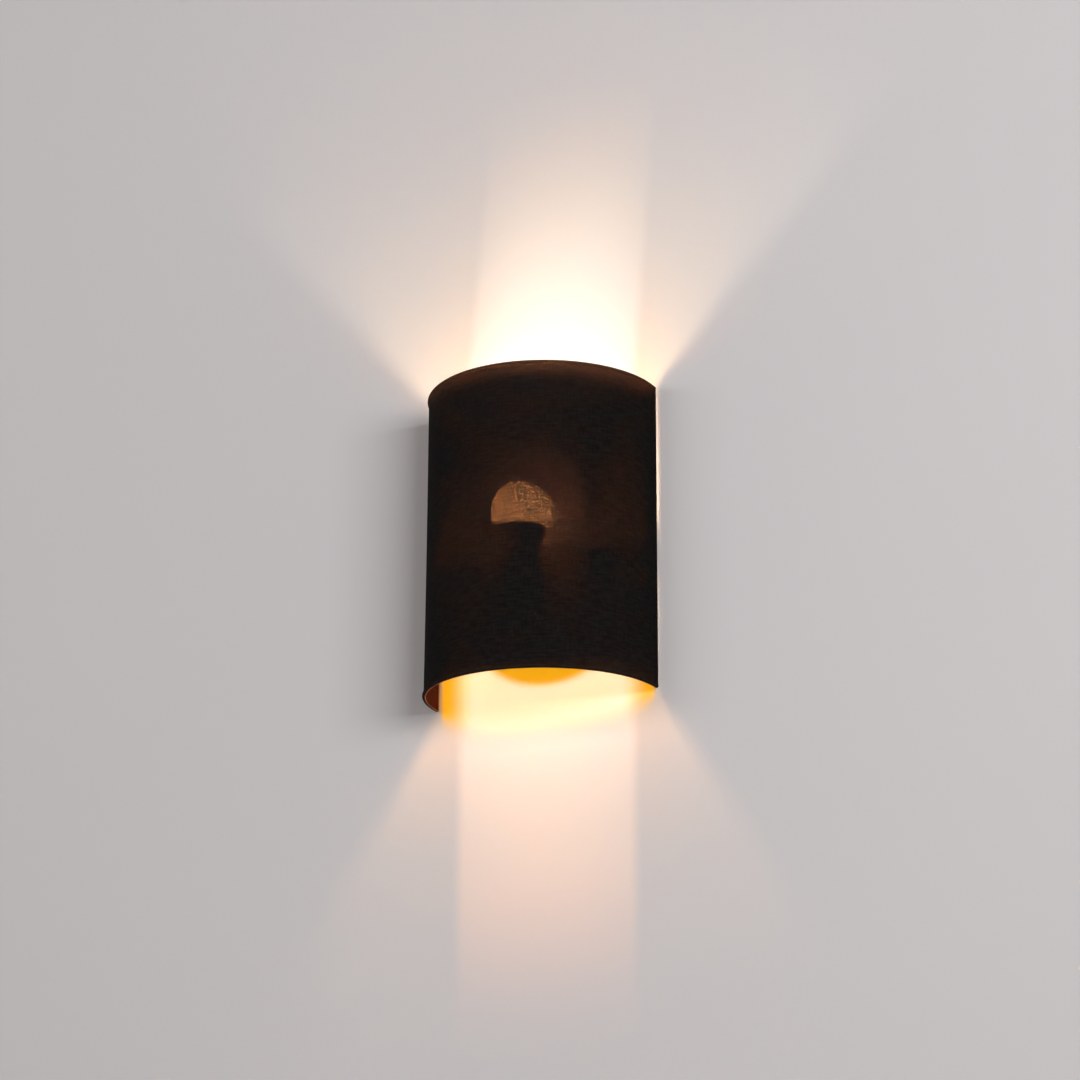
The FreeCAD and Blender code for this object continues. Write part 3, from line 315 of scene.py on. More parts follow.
# finishes of the hard pieces: colour, roughness, metal, and a grain of real size in mm
finishes = {
    # zinc-plated steel: soft grey shine with fine drawn marks
    "zincPlatedSteel": {"colour": "#B4B6B8", "rough": 0.36, "metal": 1.0, "grain": 0.35, "bump": 0.05, "drift": 0.08},
    # satin powder coat on steel: off-white with a soft shine and a fine orange peel
    "satinPowderCoat": {"colour": "#CBC9C5", "rough": 0.5, "grain": 0.9, "bump": 0.10, "drift": 0.02},
    # white coating on the wire frame: smooth, a little dull
    "coatedWire": {"colour": "#D9D6CE", "rough": 0.45, "grain": 0.7, "bump": 0.06, "drift": 0.03},
    # moulded rubber: dull and dark with a soft bloom
    "mouldedRubber": {"colour": "#242322", "rough": 0.75, "grain": 0.5, "bump": 0.05, "drift": 0.10},
    # natural nylon: milky, a little waxy
    "naturalNylon": {"colour": "#DEDBD0", "rough": 0.42, "grain": 0.8, "bump": 0.03, "drift": 0.03, "ior": 1.53},
    # turned brass, unlacquered: yellow shine with faint turning marks and darker touches
    "turnedBrass": {"colour": "#C79B4A", "rough": 0.27, "metal": 1.0, "grain": 0.25, "bump": 0.05, "drift": 0.12},
    # tinned copper: paler and warmer than zinc, with a dull shine
    "tinnedCopper": {"colour": "#BDB6AC", "rough": 0.34, "metal": 1.0, "grain": 0.3, "bump": 0.05, "drift": 0.08},
    # soft PVC wire insulation: even colour, half matt
    "brownPvc": {"colour": "#5A3018", "rough": 0.5, "grain": 0.4, "bump": 0.03, "drift": 0.05, "ior": 1.53},
    "bluePvc": {"colour": "#2A5DA8", "rough": 0.5, "grain": 0.4, "bump": 0.03, "drift": 0.05, "ior": 1.53},
    # moulded thermoset: near black, semi-matt with mould flow
    "blackThermoset": {"colour": "#1E1C1B", "rough": 0.38, "grain": 0.6, "bump": 0.05, "drift": 0.12, "ior": 1.58},
    # unglazed steatite ceramic: chalky cream
    "steatite": {"colour": "#D8D0BF", "rough": 0.62, "grain": 0.4, "bump": 0.08, "drift": 0.03},
    # moulded polycarbonate of the bulb's foot: smooth, and mid grey, which is painted shade that makes the foot look
    # dark beside the lit dome
    "bulbPolycarbonate": {"colour": "#7C7A76", "rough": 0.33, "grain": 0.8, "bump": 0.02, "drift": 0.02, "ior": 1.58},
    # white solder mask on aluminium: clean and slightly glossy
    "whiteSolderMask": {"colour": "#E9E9E4", "rough": 0.4, "grain": 0.5, "bump": 0.03, "drift": 0.03},
    # phosphor in silicone over the chips: dull warm yellow
    "yellowPhosphor": {"colour": "#EDCB45", "rough": 0.55, "grain": 0.2, "bump": 0.06, "drift": 0.05},
    # glass-fibre circuit board under green mask: a satin green that is faintly uneven
    "greenCircuitBoard": {"colour": "#1F6B3A", "rough": 0.35, "grain": 0.5, "bump": 0.06, "drift": 0.06},
    # nickel plating on the bulb's cap: bright, slightly soft
    "nickelPlate": {"colour": "#C9C5BD", "rough": 0.22, "metal": 1.0, "grain": 0.3, "bump": 0.04, "drift": 0.06},
    # dark vitrified glass of the bulb's foot: near black and glossy
    "darkVitrite": {"colour": "#15151A", "rough": 0.12, "grain": 0.8, "bump": 0.02, "drift": 0.10, "ior": 1.52},
}


# how every hard finish varies: patches per metre, their span and what they do, and the grain's height
finishSizes = {"patches": 30.0, "span": (0.3, 0.7), "lighter": 0.5, "smoother": 0.9, "rougher": 1.15, "bump": 4,
               "bumpDepth": 0.25 * mm}


def makeFinish(name, s, f=finishSizes):
    tree = newMaterial(name)
    place = addNode(tree, "ShaderNodeTexCoord").outputs["Object"]
    broad = addNode(tree, "ShaderNodeTexNoise", inputs={"Vector": place, "Scale": f["patches"], "Detail": 4.0})
    fine = addNode(tree, "ShaderNodeTexNoise", inputs={"Vector": place, "Scale": 1 / (s["grain"] * mm), "Detail": 2.0})
    lift = addNode(tree, "ShaderNodeMapRange", inputs={
        "Value": broad, **between(*f["span"], 1 - s["drift"], 1 + s["drift"] * f["lighter"])})
    tone = addNode(tree, "ShaderNodeMix", colourTimes, {"Factor": 1.0, "A": linear(s["colour"]), "B": lift})
    rough = addNode(tree, "ShaderNodeMapRange", inputs={
        "Value": broad, **between(*f["span"], s["rough"] * f["smoother"], s["rough"] * f["rougher"])})
    bump = addNode(tree, "ShaderNodeBump", inputs={
        "Height": fine, "Strength": s["bump"] * f["bump"], "Distance": s["grain"] * f["bumpDepth"]})
    shader = addNode(tree, "ShaderNodeBsdfPrincipled", inputs={
        "Base Color": tone, "Roughness": rough, "Metallic": s.get("metal", 0.0), "Normal": bump})
    if "ior" in s:
        shader.inputs["IOR"].default_value = s["ior"]
    addNode(tree, "ShaderNodeOutputMaterial", inputs={"Surface": shader})
    return tree


for name, sizes in finishes.items():
    makeFinish(name, sizes)


# earth lead: green soft PVC with a yellow stripe each side
earthLeadSizes = {"green": "#3E8E36", "yellow": "#D9C31E", "stripe": 2.6 * mm}


def makeEarthPvc(s):
    plain = {"colour": s["green"], "rough": 0.5, "grain": 0.4, "bump": 0.03, "drift": 0.04}
    tree = makeFinish("greenYellowPvc", plain)
    shader = next(n for n in tree.nodes if n.type == "BSDF_PRINCIPLED")
    place = addNode(tree, "ShaderNodeTexCoord").outputs["Object"]
    wave = addNode(tree, "ShaderNodeTexWave", {"bands_direction": "X"},
                   {"Vector": place, "Scale": 0.314 / s["stripe"], "Distortion": 0.0})  # scale 1 repeats every 0.314 m
    edge = addNode(tree, "ShaderNodeMapRange", inputs={"Value": wave.outputs["Fac"], **between(0.45, 0.55)})
    tone = addNode(tree, "ShaderNodeMix", colourMix, {
        "Factor": edge, "A": shader.inputs["Base Color"].links[0].from_socket, "B": linear(s["yellow"])})
    tree.links.new(tone.outputs["Result"], shader.inputs["Base Color"])


makeEarthPvc(earthLeadSizes)


# lit bulb: frosted polycarbonate dome glowing warm white, dimmer towards its top
bulbGlow = {"white": "#F3EEE2", "glow": (1.0, 0.68, 0.40), "strength": 108.0, "footZ": 0.008, "topZ": 0.0505,
            "topShare": 0.62, "rough": 0.55, "grain": 0.4 * mm, "bump": 0.1, "bumpDepth": 0.05 * mm}


def makeFrostedDome(s):
    tree = newMaterial("frostedDiffuser")
    place = addNode(tree, "ShaderNodeTexCoord").outputs["Object"]
    height = addNode(tree, "ShaderNodeSeparateXYZ", inputs={0: place}).outputs["Z"]
    grain = addNode(tree, "ShaderNodeTexNoise", inputs={"Vector": place, "Scale": 1 / s["grain"], "Detail": 1.0})
    bump = addNode(tree, "ShaderNodeBump", inputs={"Height": grain, "Strength": s["bump"], "Distance": s["bumpDepth"]})
    fade = addNode(tree, "ShaderNodeMapRange", smooth, {
        "Value": height, **between(s["footZ"], s["topZ"], 1.0, s["topShare"])})
    strength = addNode(tree, "ShaderNodeMath", multiply, {0: fade, 1: s["strength"]})
    shader = addNode(tree, "ShaderNodeBsdfPrincipled", inputs={
        "Base Color": linear(s["white"]), "Roughness": s["rough"], "IOR": 1.58, "Normal": bump,
        "Emission Color": (*s["glow"], 1.0), "Emission Strength": strength})
    addNode(tree, "ShaderNodeOutputMaterial", inputs={"Surface": shader})


makeFrostedDome(bulbGlow)
print("hard finishes made")


# cloth: black plain-woven linen, laminated to a stiff lining. Its uneven threads let a little warm light through, and
# are drawn coarse enough to show. The part turned in over the wires is lit hard from close by and looks brown red
linenSizes = {
    "black": "#0F0E0E", "slub": "#191716", "threadPitch": 0.65 * mm,
    "weftPitch": 2.0 * mm, "weftRun": 13.0 * mm, "warpPitch": 2.1 * mm, "warpRun": 9.0 * mm, "weftShare": 1.5,
    "threadHeight": 0.35, "bump": 0.6, "bumpDepth": 0.3 * mm, "slubContrast": 1.2,
    "through": (0.00176, 0.00084, 0.00041), "slubSpan": 0.26, "least": 0.40, "most": 1.80,
    "brown": "#3A1A15", "turnedIn": (0.11410, 0.11455), "arcY": -5.0 * mm,
    "topHem": (0.122, 0.1490, 24.0), "bottomHem": (0.128, 0.1480, 7.0), "hemPower": 3.0,  # start, end and strength
}


def addLinenSlubs(tree, split, s):  # noise drawn out along each way of the threads
    slubs = []
    weft, warp = (s["weftRun"], s["weftPitch"], s["weftShare"]), (s["warpPitch"], s["warpRun"], 1.0)
    for width, height, strength in (weft, warp):
        along = addNode(tree, "ShaderNodeMath", divide, {0: split.outputs["X"], 1: width})
        upward = addNode(tree, "ShaderNodeMath", divide, {0: split.outputs["Y"], 1: height})
        place = addNode(tree, "ShaderNodeCombineXYZ", inputs={"X": along, "Y": upward})
        noise = addNode(tree, "ShaderNodeTexNoise", {"noise_dimensions": "2D"}, {
            "Vector": place, "Scale": 1.0, "Detail": 1.0})
        centred = addNode(tree, "ShaderNodeMath", subtract, {0: noise, 1: 0.5})
        slubs.append(addNode(tree, "ShaderNodeMath", multiply, {0: centred, 1: strength}))
    return addNode(tree, "ShaderNodeMath", add, {0: slubs[0], 1: slubs[1]})


def addLinenThreads(tree, split, s):  # the plain weave itself, as a height
    waves = []
    for way in ("X", "Y"):
        turn = addNode(tree, "ShaderNodeMath", multiply, {0: split.outputs[way], 1: math.pi / s["threadPitch"]})
        wave = addNode(tree, "ShaderNodeMath", {"operation": "SINE"}, {0: turn})
        waves.append(addNode(tree, "ShaderNodeMath", absolute, {0: wave}))
    plain = addNode(tree, "ShaderNodeMath", largest, {0: waves[0], 1: waves[1]})
    return addNode(tree, "ShaderNodeMath", multiply, {0: plain, 1: s["threadHeight"]})


def addLinenYarn(tree, slubs, height, spot, s):  # the threads as the eye sees them, brown red on the part turned in
    bump = addNode(tree, "ShaderNodeBump", inputs={"Height": height, "Strength": s["bump"], "Distance": s["bumpDepth"]})
    strong = addNode(tree, "ShaderNodeMath", multiply, {0: slubs, 1: s["slubContrast"]})
    strong = addNode(tree, "ShaderNodeMath", {"operation": "ADD", "use_clamp": True}, {0: strong, 1: 0.5})
    tone = addNode(tree, "ShaderNodeMix", colourMix, {
        "Factor": strong, "A": linear(s["black"]), "B": linear(s["slub"])})
    outward = addNode(tree, "ShaderNodeMath", subtract, {0: spot.outputs["Y"], 1: s["arcY"]})
    outward = addNode(tree, "ShaderNodeMath", {"operation": "MINIMUM"}, {0: outward, 1: 0.0})
    outward = addNode(tree, "ShaderNodeMath", multiply, {0: outward, 1: outward})
    across = addNode(tree, "ShaderNodeMath", multiply, {0: spot.outputs["X"], 1: spot.outputs["X"]})
    radius = addNode(tree, "ShaderNodeMath", add, {0: across, 1: outward})
    radius = addNode(tree, "ShaderNodeMath", root, {0: radius})
    # painted light: the part turned in over the wires gets a brown red that stands for the hard warm light on it from
    # close by
    turnedIn = addNode(tree, "ShaderNodeMapRange", inputs={"Value": radius, **between(*s["turnedIn"], 1.0, 0.0)})
    mottledLitTone = addNode(tree, "ShaderNodeMix", colourMix, {"Factor": turnedIn, "A": tone, "B": linear(s["brown"])})
    return addNode(tree, "ShaderNodeBsdfPrincipled", inputs={
        "Base Color": mottledLitTone, "Roughness": 0.95, "Specular IOR Level": 0.02, "Normal": bump})


def addLinenHoles(tree, slubs, level, s):  # light between the threads: less where they are thick, more near the hems
    holes = addNode(tree, "ShaderNodeMapRange", inputs={
        "Value": slubs, **between(s["slubSpan"], -s["slubSpan"], s["least"], s["most"])})
    for sign, (start, end, strength) in ((1.0, s["topHem"]), (-1.0, s["bottomHem"])):
        near = addNode(tree, "ShaderNodeMath", multiply, {0: level, 1: sign})
        near = addNode(tree, "ShaderNodeMapRange", inputs={"Value": near, **between(start, end)})
        hem = addNode(tree, "ShaderNodeMath", power, {0: near, 1: s["hemPower"]})
        hem = addNode(tree, "ShaderNodeMath", multiply, {0: hem, 1: strength})
        holes = addNode(tree, "ShaderNodeMath", add, {0: hem, 1: holes})
    return addNode(tree, "ShaderNodeMath", multiply, {0: holes, 1: max(s["through"])})


def makeLinen(s):
    tree = newMaterial("blackLinen")
    threads = addNode(tree, "ShaderNodeUVMap", {"uv_map": "threads"})  # metres along and across the cloth
    split = addNode(tree, "ShaderNodeSeparateXYZ", inputs={0: threads})
    spot = addNode(tree, "ShaderNodeSeparateXYZ", inputs={0: addNode(tree, "ShaderNodeTexCoord").outputs["Object"]})
    slubs = addLinenSlubs(tree, split, s)
    height = addNode(tree, "ShaderNodeMath", add, {0: addLinenThreads(tree, split, s), 1: slubs})
    yarn = addLinenYarn(tree, slubs, height, spot, s)
    holes = addLinenHoles(tree, slubs, spot.outputs["Z"], s)
    tint = tuple(t / max(s["through"]) for t in s["through"]) + (1.0,)
    clear = addNode(tree, "ShaderNodeBsdfTransparent", inputs={"Color": tint})
    free = addNode(tree, "ShaderNodeBsdfTransparent")
    front = addNode(tree, "ShaderNodeMixShader", inputs={0: holes, 1: yarn, 2: clear})
    leaving = addNode(tree, "ShaderNodeNewGeometry").outputs["Backfacing"]  # a ray on its way out of the cloth
    both = addNode(tree, "ShaderNodeMixShader", inputs={0: leaving, 1: front, 2: free})
    addNode(tree, "ShaderNodeOutputMaterial", inputs={"Surface": both})


# lining: gold metallised film, near mirror bright with long faint ripples, on a stiff clear backing with a cut edge
filmSizes = {"gold": "#F0CB6B", "rough": 0.09, "smoother": 0.85, "rougher": 1.2,
             "ripple": 30.0 * mm, "rippleBump": 0.3, "rippleDepth": 0.6 * mm,
             "grain": 0.5 * mm, "grainBump": 0.15, "grainDepth": 0.05 * mm, "fleck": 2.0 * mm,
             "edge": "#7A4A3C", "edgeDarkFleck": "#593428", "edgeLit": "#FFD9A0", "edgeThrough": 0.45}


def makeFilm(s):
    tree = newMaterial("goldFilm")
    place = addNode(tree, "ShaderNodeTexCoord").outputs["Object"]
    ripple = addNode(tree, "ShaderNodeTexNoise", inputs={"Vector": place, "Scale": 1 / s["ripple"], "Detail": 2.0})
    grain = addNode(tree, "ShaderNodeTexNoise", inputs={"Vector": place, "Scale": 1 / s["grain"], "Detail": 1.0})
    wavy = addNode(tree, "ShaderNodeBump", inputs={
        "Height": ripple, "Strength": s["rippleBump"], "Distance": s["rippleDepth"]})
    bump = addNode(tree, "ShaderNodeBump", inputs={
        "Height": grain, "Strength": s["grainBump"], "Distance": s["grainDepth"], "Normal": wavy})
    rough = addNode(tree, "ShaderNodeMapRange", inputs={
        "Value": grain, **between(0.0, 1.0, s["rough"] * s["smoother"], s["rough"] * s["rougher"])})
    gold = addNode(tree, "ShaderNodeBsdfPrincipled", inputs={
        "Base Color": linear(s["gold"]), "Metallic": 1.0, "Roughness": rough, "Normal": bump})
    clear = addNode(tree, "ShaderNodeBsdfTransparent")
    inside = addNode(tree, "ShaderNodeNewGeometry").outputs["Backfacing"]
    both = addNode(tree, "ShaderNodeMixShader", inputs={0: inside, 1: gold, 2: clear})
    addNode(tree, "ShaderNodeOutputMaterial", inputs={"Surface": both})


# the backing's cut edge, which carries the lamp's light to its other side and looks dull from the lit one. The dull
# side's pinkish browns are painted warm light, flecked at random
def makeFilmEdge(s):
    tree = newMaterial("cutFilmEdge")
    place = addNode(tree, "ShaderNodeTexCoord").outputs["Object"]
    fleck = addNode(tree, "ShaderNodeTexNoise", inputs={"Vector": place, "Scale": 1 / s["fleck"], "Detail": 2.0})
    # painted light: the pinkish browns of the dull side stand for the lamp's warm light on it
    mottledLitTone = addNode(tree, "ShaderNodeMix", colourMix, {
        "Factor": fleck, "A": linear(s["edge"]), "B": linear(s["edgeDarkFleck"])})
    dull = addNode(tree, "ShaderNodeBsdfPrincipled", inputs={"Base Color": mottledLitTone, "Roughness": 0.5, "IOR": 1.53})
    lit = addNode(tree, "ShaderNodeBsdfTranslucent", inputs={"Color": linear(s["edgeLit"])})
    both = addNode(tree, "ShaderNodeMixShader", inputs={0: s["edgeThrough"], 1: dull, 2: lit})
    addNode(tree, "ShaderNodeOutputMaterial", inputs={"Surface": both})


def makeClearBacking():  # the side glued to the cloth, which the cloth's holes look through
    tree = newMaterial("clearBacking")
    addNode(tree, "ShaderNodeOutputMaterial", inputs={"Surface": addNode(tree, "ShaderNodeBsdfTransparent")})


makeLinen(linenSizes)
makeFilm(filmSizes)
makeFilmEdge(filmSizes)
makeClearBacking()
print("cloth and lining finishes made")


# shade: one closed section swept round the half-round plan
shadeSizes = {
    "planRadius": 114.55 * mm, "arcY": -5.0 * mm, "endWireY": -3.5 * mm, "rimZ": 149.25 * mm,
    "outer": 0.45 * mm, "cloth": 0.5 * mm, "lining": 0.4 * mm, "glue": 0.02 * mm,
    "rimRoll": 1.75 * mm, "endRoll": 1.5 * mm, "turnIn": 18.0 * mm, "drawIn": 0.4 * mm,
    "planSteps": 110, "rollSteps": 16, "wallSteps": 36,
    "liningTop": 147.3 * mm, "liningStart": 1.75 * mm, "cutSize": (0.408, 0.345),
    "bead": 0.55 * mm, "beadAcross": -1.3 * mm, "beadUp": 1.2 * mm, "beadInset": 1.0 * mm, "beadSteps": 10,
    "beadAround": 8, "slotGap": 0.2 * mm, "tuckGap": 0.4 * mm, "tuckStart": 0.2 * mm, "tuckSteps": 6,
    "gluedSlack": 0.25 * mm, "gluedBand": 0.35 * mm, "around": 20, "cornerSteps": 8,
    "barInset": 4.0 * mm, "barSteps": 30,
}
turnedRadius = 1.6 * mm  # radius at which the threads are laid out round a turned piece


def makeCurve(name, points, closed=False):
    data = bpy.data.curves.new(name, "CURVE")
    data.dimensions = "3D"
    spline = data.splines.new("POLY")
    spline.points.add(len(points) - 1)
    for point, place in zip(spline.points, points):
        point.co = (*place, 1)
    spline.use_cyclic_u = closed
    curve = bpy.data.objects.new(name, data)
    scene.collection.objects.link(curve)
    return curve


def planLength(s):
    return 2 * (s["endWireY"] - s["arcY"]) + math.pi * s["planRadius"]


def planPoint(s, along):  # from the right end wire round the front to the left one
    straight, radius, total = s["endWireY"] - s["arcY"], s["planRadius"], planLength(s)
    if along < straight:
        return (radius, s["endWireY"] - along, 0)
    if along > total - straight:
        return (-radius, s["endWireY"] - (total - along), 0)
    angle = (along - straight) / radius
    return (radius * math.cos(angle), s["arcY"] - radius * math.sin(angle), 0)


def planPath(name, s, start, end, steps):
    stops = sorted({start + (end - start) * i / steps for i in range(steps + 1)})
    return makeCurve(name, [planPoint(s, stop) for stop in stops])


def makeSweepTree():
    tree = bpy.data.node_groups.new("sweptWall", "GeometryNodeTree")
    tree.interface.new_socket("Path", in_out="INPUT", socket_type="NodeSocketGeometry")
    tree.interface.new_socket("Section", in_out="INPUT", socket_type="NodeSocketObject")
    tree.interface.new_socket("Flute Depth", in_out="INPUT", socket_type="NodeSocketFloat")
    tree.interface.new_socket("Flute Count", in_out="INPUT", socket_type="NodeSocketFloat")
    tree.interface.new_socket("Finish", in_out="INPUT", socket_type="NodeSocketMaterial")
    tree.interface.new_socket("Geometry", in_out="OUTPUT", socket_type="NodeSocketGeometry")
    given = addNode(tree, "NodeGroupInput")
    upright = addNode(tree, "GeometryNodeSetCurveNormal", {"mode": "Z_UP"}, {"Curve": given.outputs["Path"]})
    parameter = addNode(tree, "GeometryNodeSplineParameter")
    plan = addNode(tree, "GeometryNodeCaptureAttribute", inputs={"Geometry": upright.outputs["Curve"]})
    plan.capture_items.new("FLOAT", "planLength")
    plan.capture_items.new("FLOAT", "planShare")
    tree.links.new(parameter.outputs["Length"], plan.inputs["planLength"])
    tree.links.new(parameter.outputs["Factor"], plan.inputs["planShare"])
    section = addNode(tree, "GeometryNodeObjectInfo", inputs={"Object": given.outputs["Section"]})
    cut = addNode(tree, "GeometryNodeCaptureAttribute", inputs={"Geometry": section.outputs["Geometry"]})
    cut.capture_items.new("FLOAT", "sectionLength")
    cut.capture_items.new("FLOAT", "sectionDepth")
    tree.links.new(addNode(tree, "GeometryNodeSplineParameter").outputs["Length"], cut.inputs["sectionLength"])
    tree.links.new(addNode(tree, "GeometryNodeInputRadius").outputs[0], cut.inputs["sectionDepth"])
    swept = addNode(tree, "GeometryNodeCurveToMesh", inputs={
        "Curve": plan.outputs["Geometry"], "Profile Curve": cut.outputs["Geometry"], "Fill Caps": True})
    # flutes: the radius of each point of the section says how much it gives way
    turns = addNode(tree, "ShaderNodeMath", multiply, {0: plan.outputs["planShare"], 1: given.outputs["Flute Count"]})
    angle = addNode(tree, "ShaderNodeMath", multiply, {0: turns, 1: math.pi})
    wave = addNode(tree, "ShaderNodeMath", {"operation": "SINE"}, {0: angle})
    hollow = addNode(tree, "ShaderNodeMath", absolute, {0: wave})
    hollow = addNode(tree, "ShaderNodeMath", power, {0: hollow, 1: 0.7})  # wide hollows with narrow ridges between them
    give = addNode(tree, "ShaderNodeMath", multiply, {0: hollow, 1: given.outputs["Flute Depth"]})
    threads = addNode(tree, "ShaderNodeCombineXYZ", inputs={"X": plan.outputs["planLength"],
                                                            "Y": cut.outputs["sectionLength"]})
    mapped = addNode(tree, "GeometryNodeStoreNamedAttribute", {"data_type": "FLOAT2", "domain": "CORNER"},
                     {"Geometry": swept.outputs["Mesh"], "Name": "threads", "Value": threads.outputs[0]})
    normal = addNode(tree, "GeometryNodeInputNormal").outputs[0]
    push = addNode(tree, "ShaderNodeVectorMath", {"operation": "SCALE"}, {0: normal})
    amount = addNode(tree, "ShaderNodeMath", multiply, {0: give, 1: cut.outputs["sectionDepth"]})
    tree.links.new(amount.outputs["Value"], push.inputs["Scale"])
    fluted = addNode(tree, "GeometryNodeSetPosition", inputs={"Geometry": mapped.outputs["Geometry"],
                                                              "Offset": push.outputs["Vector"]})
    shaded = addNode(tree, "GeometryNodeSetShadeSmooth", inputs={"Geometry": fluted.outputs["Geometry"]})
    real = addNode(tree, "GeometryNodeRealizeInstances", inputs={"Geometry": shaded.outputs["Geometry"]})
    painted = addNode(tree, "GeometryNodeSetMaterial", inputs={"Geometry": real.outputs["Geometry"],
                                                               "Material": given.outputs["Finish"]})
    addNode(tree, "NodeGroupOutput", inputs={"Geometry": painted.outputs["Geometry"]})
    return tree


def socketId(tree, name):
    return next(i.identifier for i in tree.interface.items_tree if i.name == name and i.in_out == "INPUT")


def applyTree(base, tree, values):  # runs a tree on an object and gives its result as a plain mesh
    modifier = base.modifiers.new("nodes", "NODES")
    modifier.node_group = tree
    for name, value in values.items():
        modifier[socketId(tree, name)] = value
    mesh = bpy.data.meshes.new_from_object(base.evaluated_get(bpy.context.evaluated_depsgraph_get()))
    base.modifiers.remove(modifier)
    return mesh


sweptWall = makeSweepTree()


def sweep(path, section, finish, fluteDepth=0.0, fluteCount=0.0):
    mesh = applyTree(path, sweptWall, {"Section": section, "Finish": finish, "Flute Depth": fluteDepth,
                                       "Flute Count": fluteCount})
    bpy.data.objects.remove(path)
    return mesh


def joinMeshes(name, meshes, sharp=35):
    parts = [bpy.data.objects.new(name, mesh) for mesh in meshes]
    for part in parts:
        scene.collection.objects.link(part)
    whole = parts[0]
    if len(parts) > 1:
        with bpy.context.temp_override(active_object=whole, selected_editable_objects=parts, selected_objects=parts):
            bpy.ops.object.join()
    whole.data.set_sharp_from_angle(angle=math.radians(sharp))
    return whole


def drawn(s, z):  # how far the stretched wall draws in between its rims
    return -s["drawIn"] * max(0.0, 1 - (z / s["rimZ"]) ** 2)


def sectionCurve(name, points):  # points are (outward, upward), and the sweep has its X inward and its Y downward
    return makeCurve(name, [(-outward, -upward, 0) for outward, upward in points], True)


def wallRun(s, offset, low, high):
    heights = [low + (high - low) * i / s["wallSteps"] for i in range(s["wallSteps"] + 1)]
    return [(offset + drawn(s, z), z) for z in heights]


def clothSection(s):  # turn-in, lower roll, outer face, upper roll, turn-in, and the slot that holds the lining
    outer, rim, roll = s["outer"], s["rimZ"], s["rimRoll"]
    back = outer - s["cloth"]
    front = back - s["lining"]
    face = front - s["cloth"]
    tuck = s["rimZ"] - s["turnIn"]
    slot = s["liningTop"] + s["slotGap"]
    outside, inside = math.acos(outer / roll), math.acos(face / roll)
    folds = [(front, slot), (front, tuck), (face, tuck)]
    points = [(offset + drawn(s, z), -z) for offset, z in folds]
    steps = s["rollSteps"]
    for i in range(steps + 1):
        angle = inside + (2 * math.pi + outside - inside) * i / steps
        points.append((roll * math.cos(angle), -rim + roll * math.sin(angle)))
    run = rim - roll * math.sin(outside)
    points += wallRun(s, outer, -run, run)[1:-1]
    for i in range(steps + 1):
        angle = -outside + (2 * math.pi + outside - inside) * i / steps
        points.append((roll * math.cos(angle), rim + roll * math.sin(angle)))
    points += [(offset + drawn(s, z), z) for offset, z in reversed(folds)]
    return points + wallRun(s, back, slot, -slot)


def liningSection(s):
    back = s["outer"] - s["cloth"] - s["glue"]
    front = back - s["lining"] + 2 * s["glue"]
    return wallRun(s, back, -s["liningTop"], s["liningTop"]) + wallRun(s, front, s["liningTop"], -s["liningTop"])


def tuckSection(s):  # cloth folded in at an end, between the tucks of the rims
    face = s["outer"] - 2 * s["cloth"] - s["lining"]
    high = s["rimZ"] - s["turnIn"] - s["tuckGap"]
    return wallRun(s, face + s["cloth"] - s["glue"], -high, high) + wallRun(s, face, high, -high)


def lathe(name, rings, centre, around, finish):  # closed solid of revolution about Z, with a pole at each end
    vertices, faces, uvs = [], [], []
    count = len(rings)
    for radius, z in rings[1:-1]:
        for i in range(around):
            angle = 2 * math.pi * i / around
            vertices.append((centre[0] + radius * math.cos(angle), centre[1] + radius * math.sin(angle), z))
    low, high = len(vertices), len(vertices) + 1
    vertices += [(centre[0], centre[1], rings[0][1]), (centre[0], centre[1], rings[-1][1])]
    for ring in range(count - 3):
        for i in range(around):
            a, b = ring * around + i, ring * around + (i + 1) % around
            faces.append((a, b, b + around, a + around))
    top = (count - 3) * around
    for i in range(around):
        faces.append((low, (i + 1) % around, i))
        faces.append((high, top + i, top + (i + 1) % around))
    mesh = bpy.data.meshes.new(name)
    mesh.from_pydata(vertices, [], faces)
    layer = mesh.uv_layers.new(name="threads")
    for face in mesh.polygons:
        turns = []
        for corner in face.loop_indices:
            x, y, z = mesh.vertices[mesh.loops[corner].vertex_index].co
            x, y = x - centre[0], y - centre[1]
            turns.append((corner, math.atan2(y, x), z, math.hypot(x, y)))
        middle = math.atan2(sum(math.sin(t[1]) for t in turns), sum(math.cos(t[1]) for t in turns))
        for corner, angle, z, radius in turns:
            near = middle if radius < 1e-7 else middle + (angle - middle + math.pi) % (2 * math.pi) - math.pi
            layer.data[corner].uv = (near * turnedRadius, z)
        face.use_smooth = True
    mesh.materials.append(finish)
    return mesh


def endRollRings(s):  # a rolled end, closed by a rounded corner that covers the rims' ends
    rim, roll, corner, steps = s["rimZ"], s["endRoll"], s["rimRoll"], s["cornerSteps"]
    turns = [math.pi / 2 * i / steps for i in range(steps + 1)]
    bottom = [(corner * math.sin(turn), -rim - corner * math.cos(turn)) for turn in turns]
    meet = math.acos(roll / corner)
    bottom += [(corner * math.cos(meet * i / 3), -rim + corner * math.sin(meet * i / 3)) for i in (1, 2, 3)]
    low, count = -rim + s["barInset"], s["barSteps"]
    heights = [low - 2 * low * i / count for i in range(count + 1)]
    return bottom + [(roll, z) for z in heights] + [(radius, -z) for radius, z in reversed(bottom)]


def edgingSection(s, side):  # a thin bead where the film's edge shows inside the roll
    bead, across, up = s["bead"], s["beadAcross"], s["beadUp"] + s["rimZ"]
    return [(across + bead * math.cos(angle), side * up + bead * math.sin(angle))
            for angle in (2 * math.pi * i / s["beadSteps"] for i in range(s["beadSteps"]))]


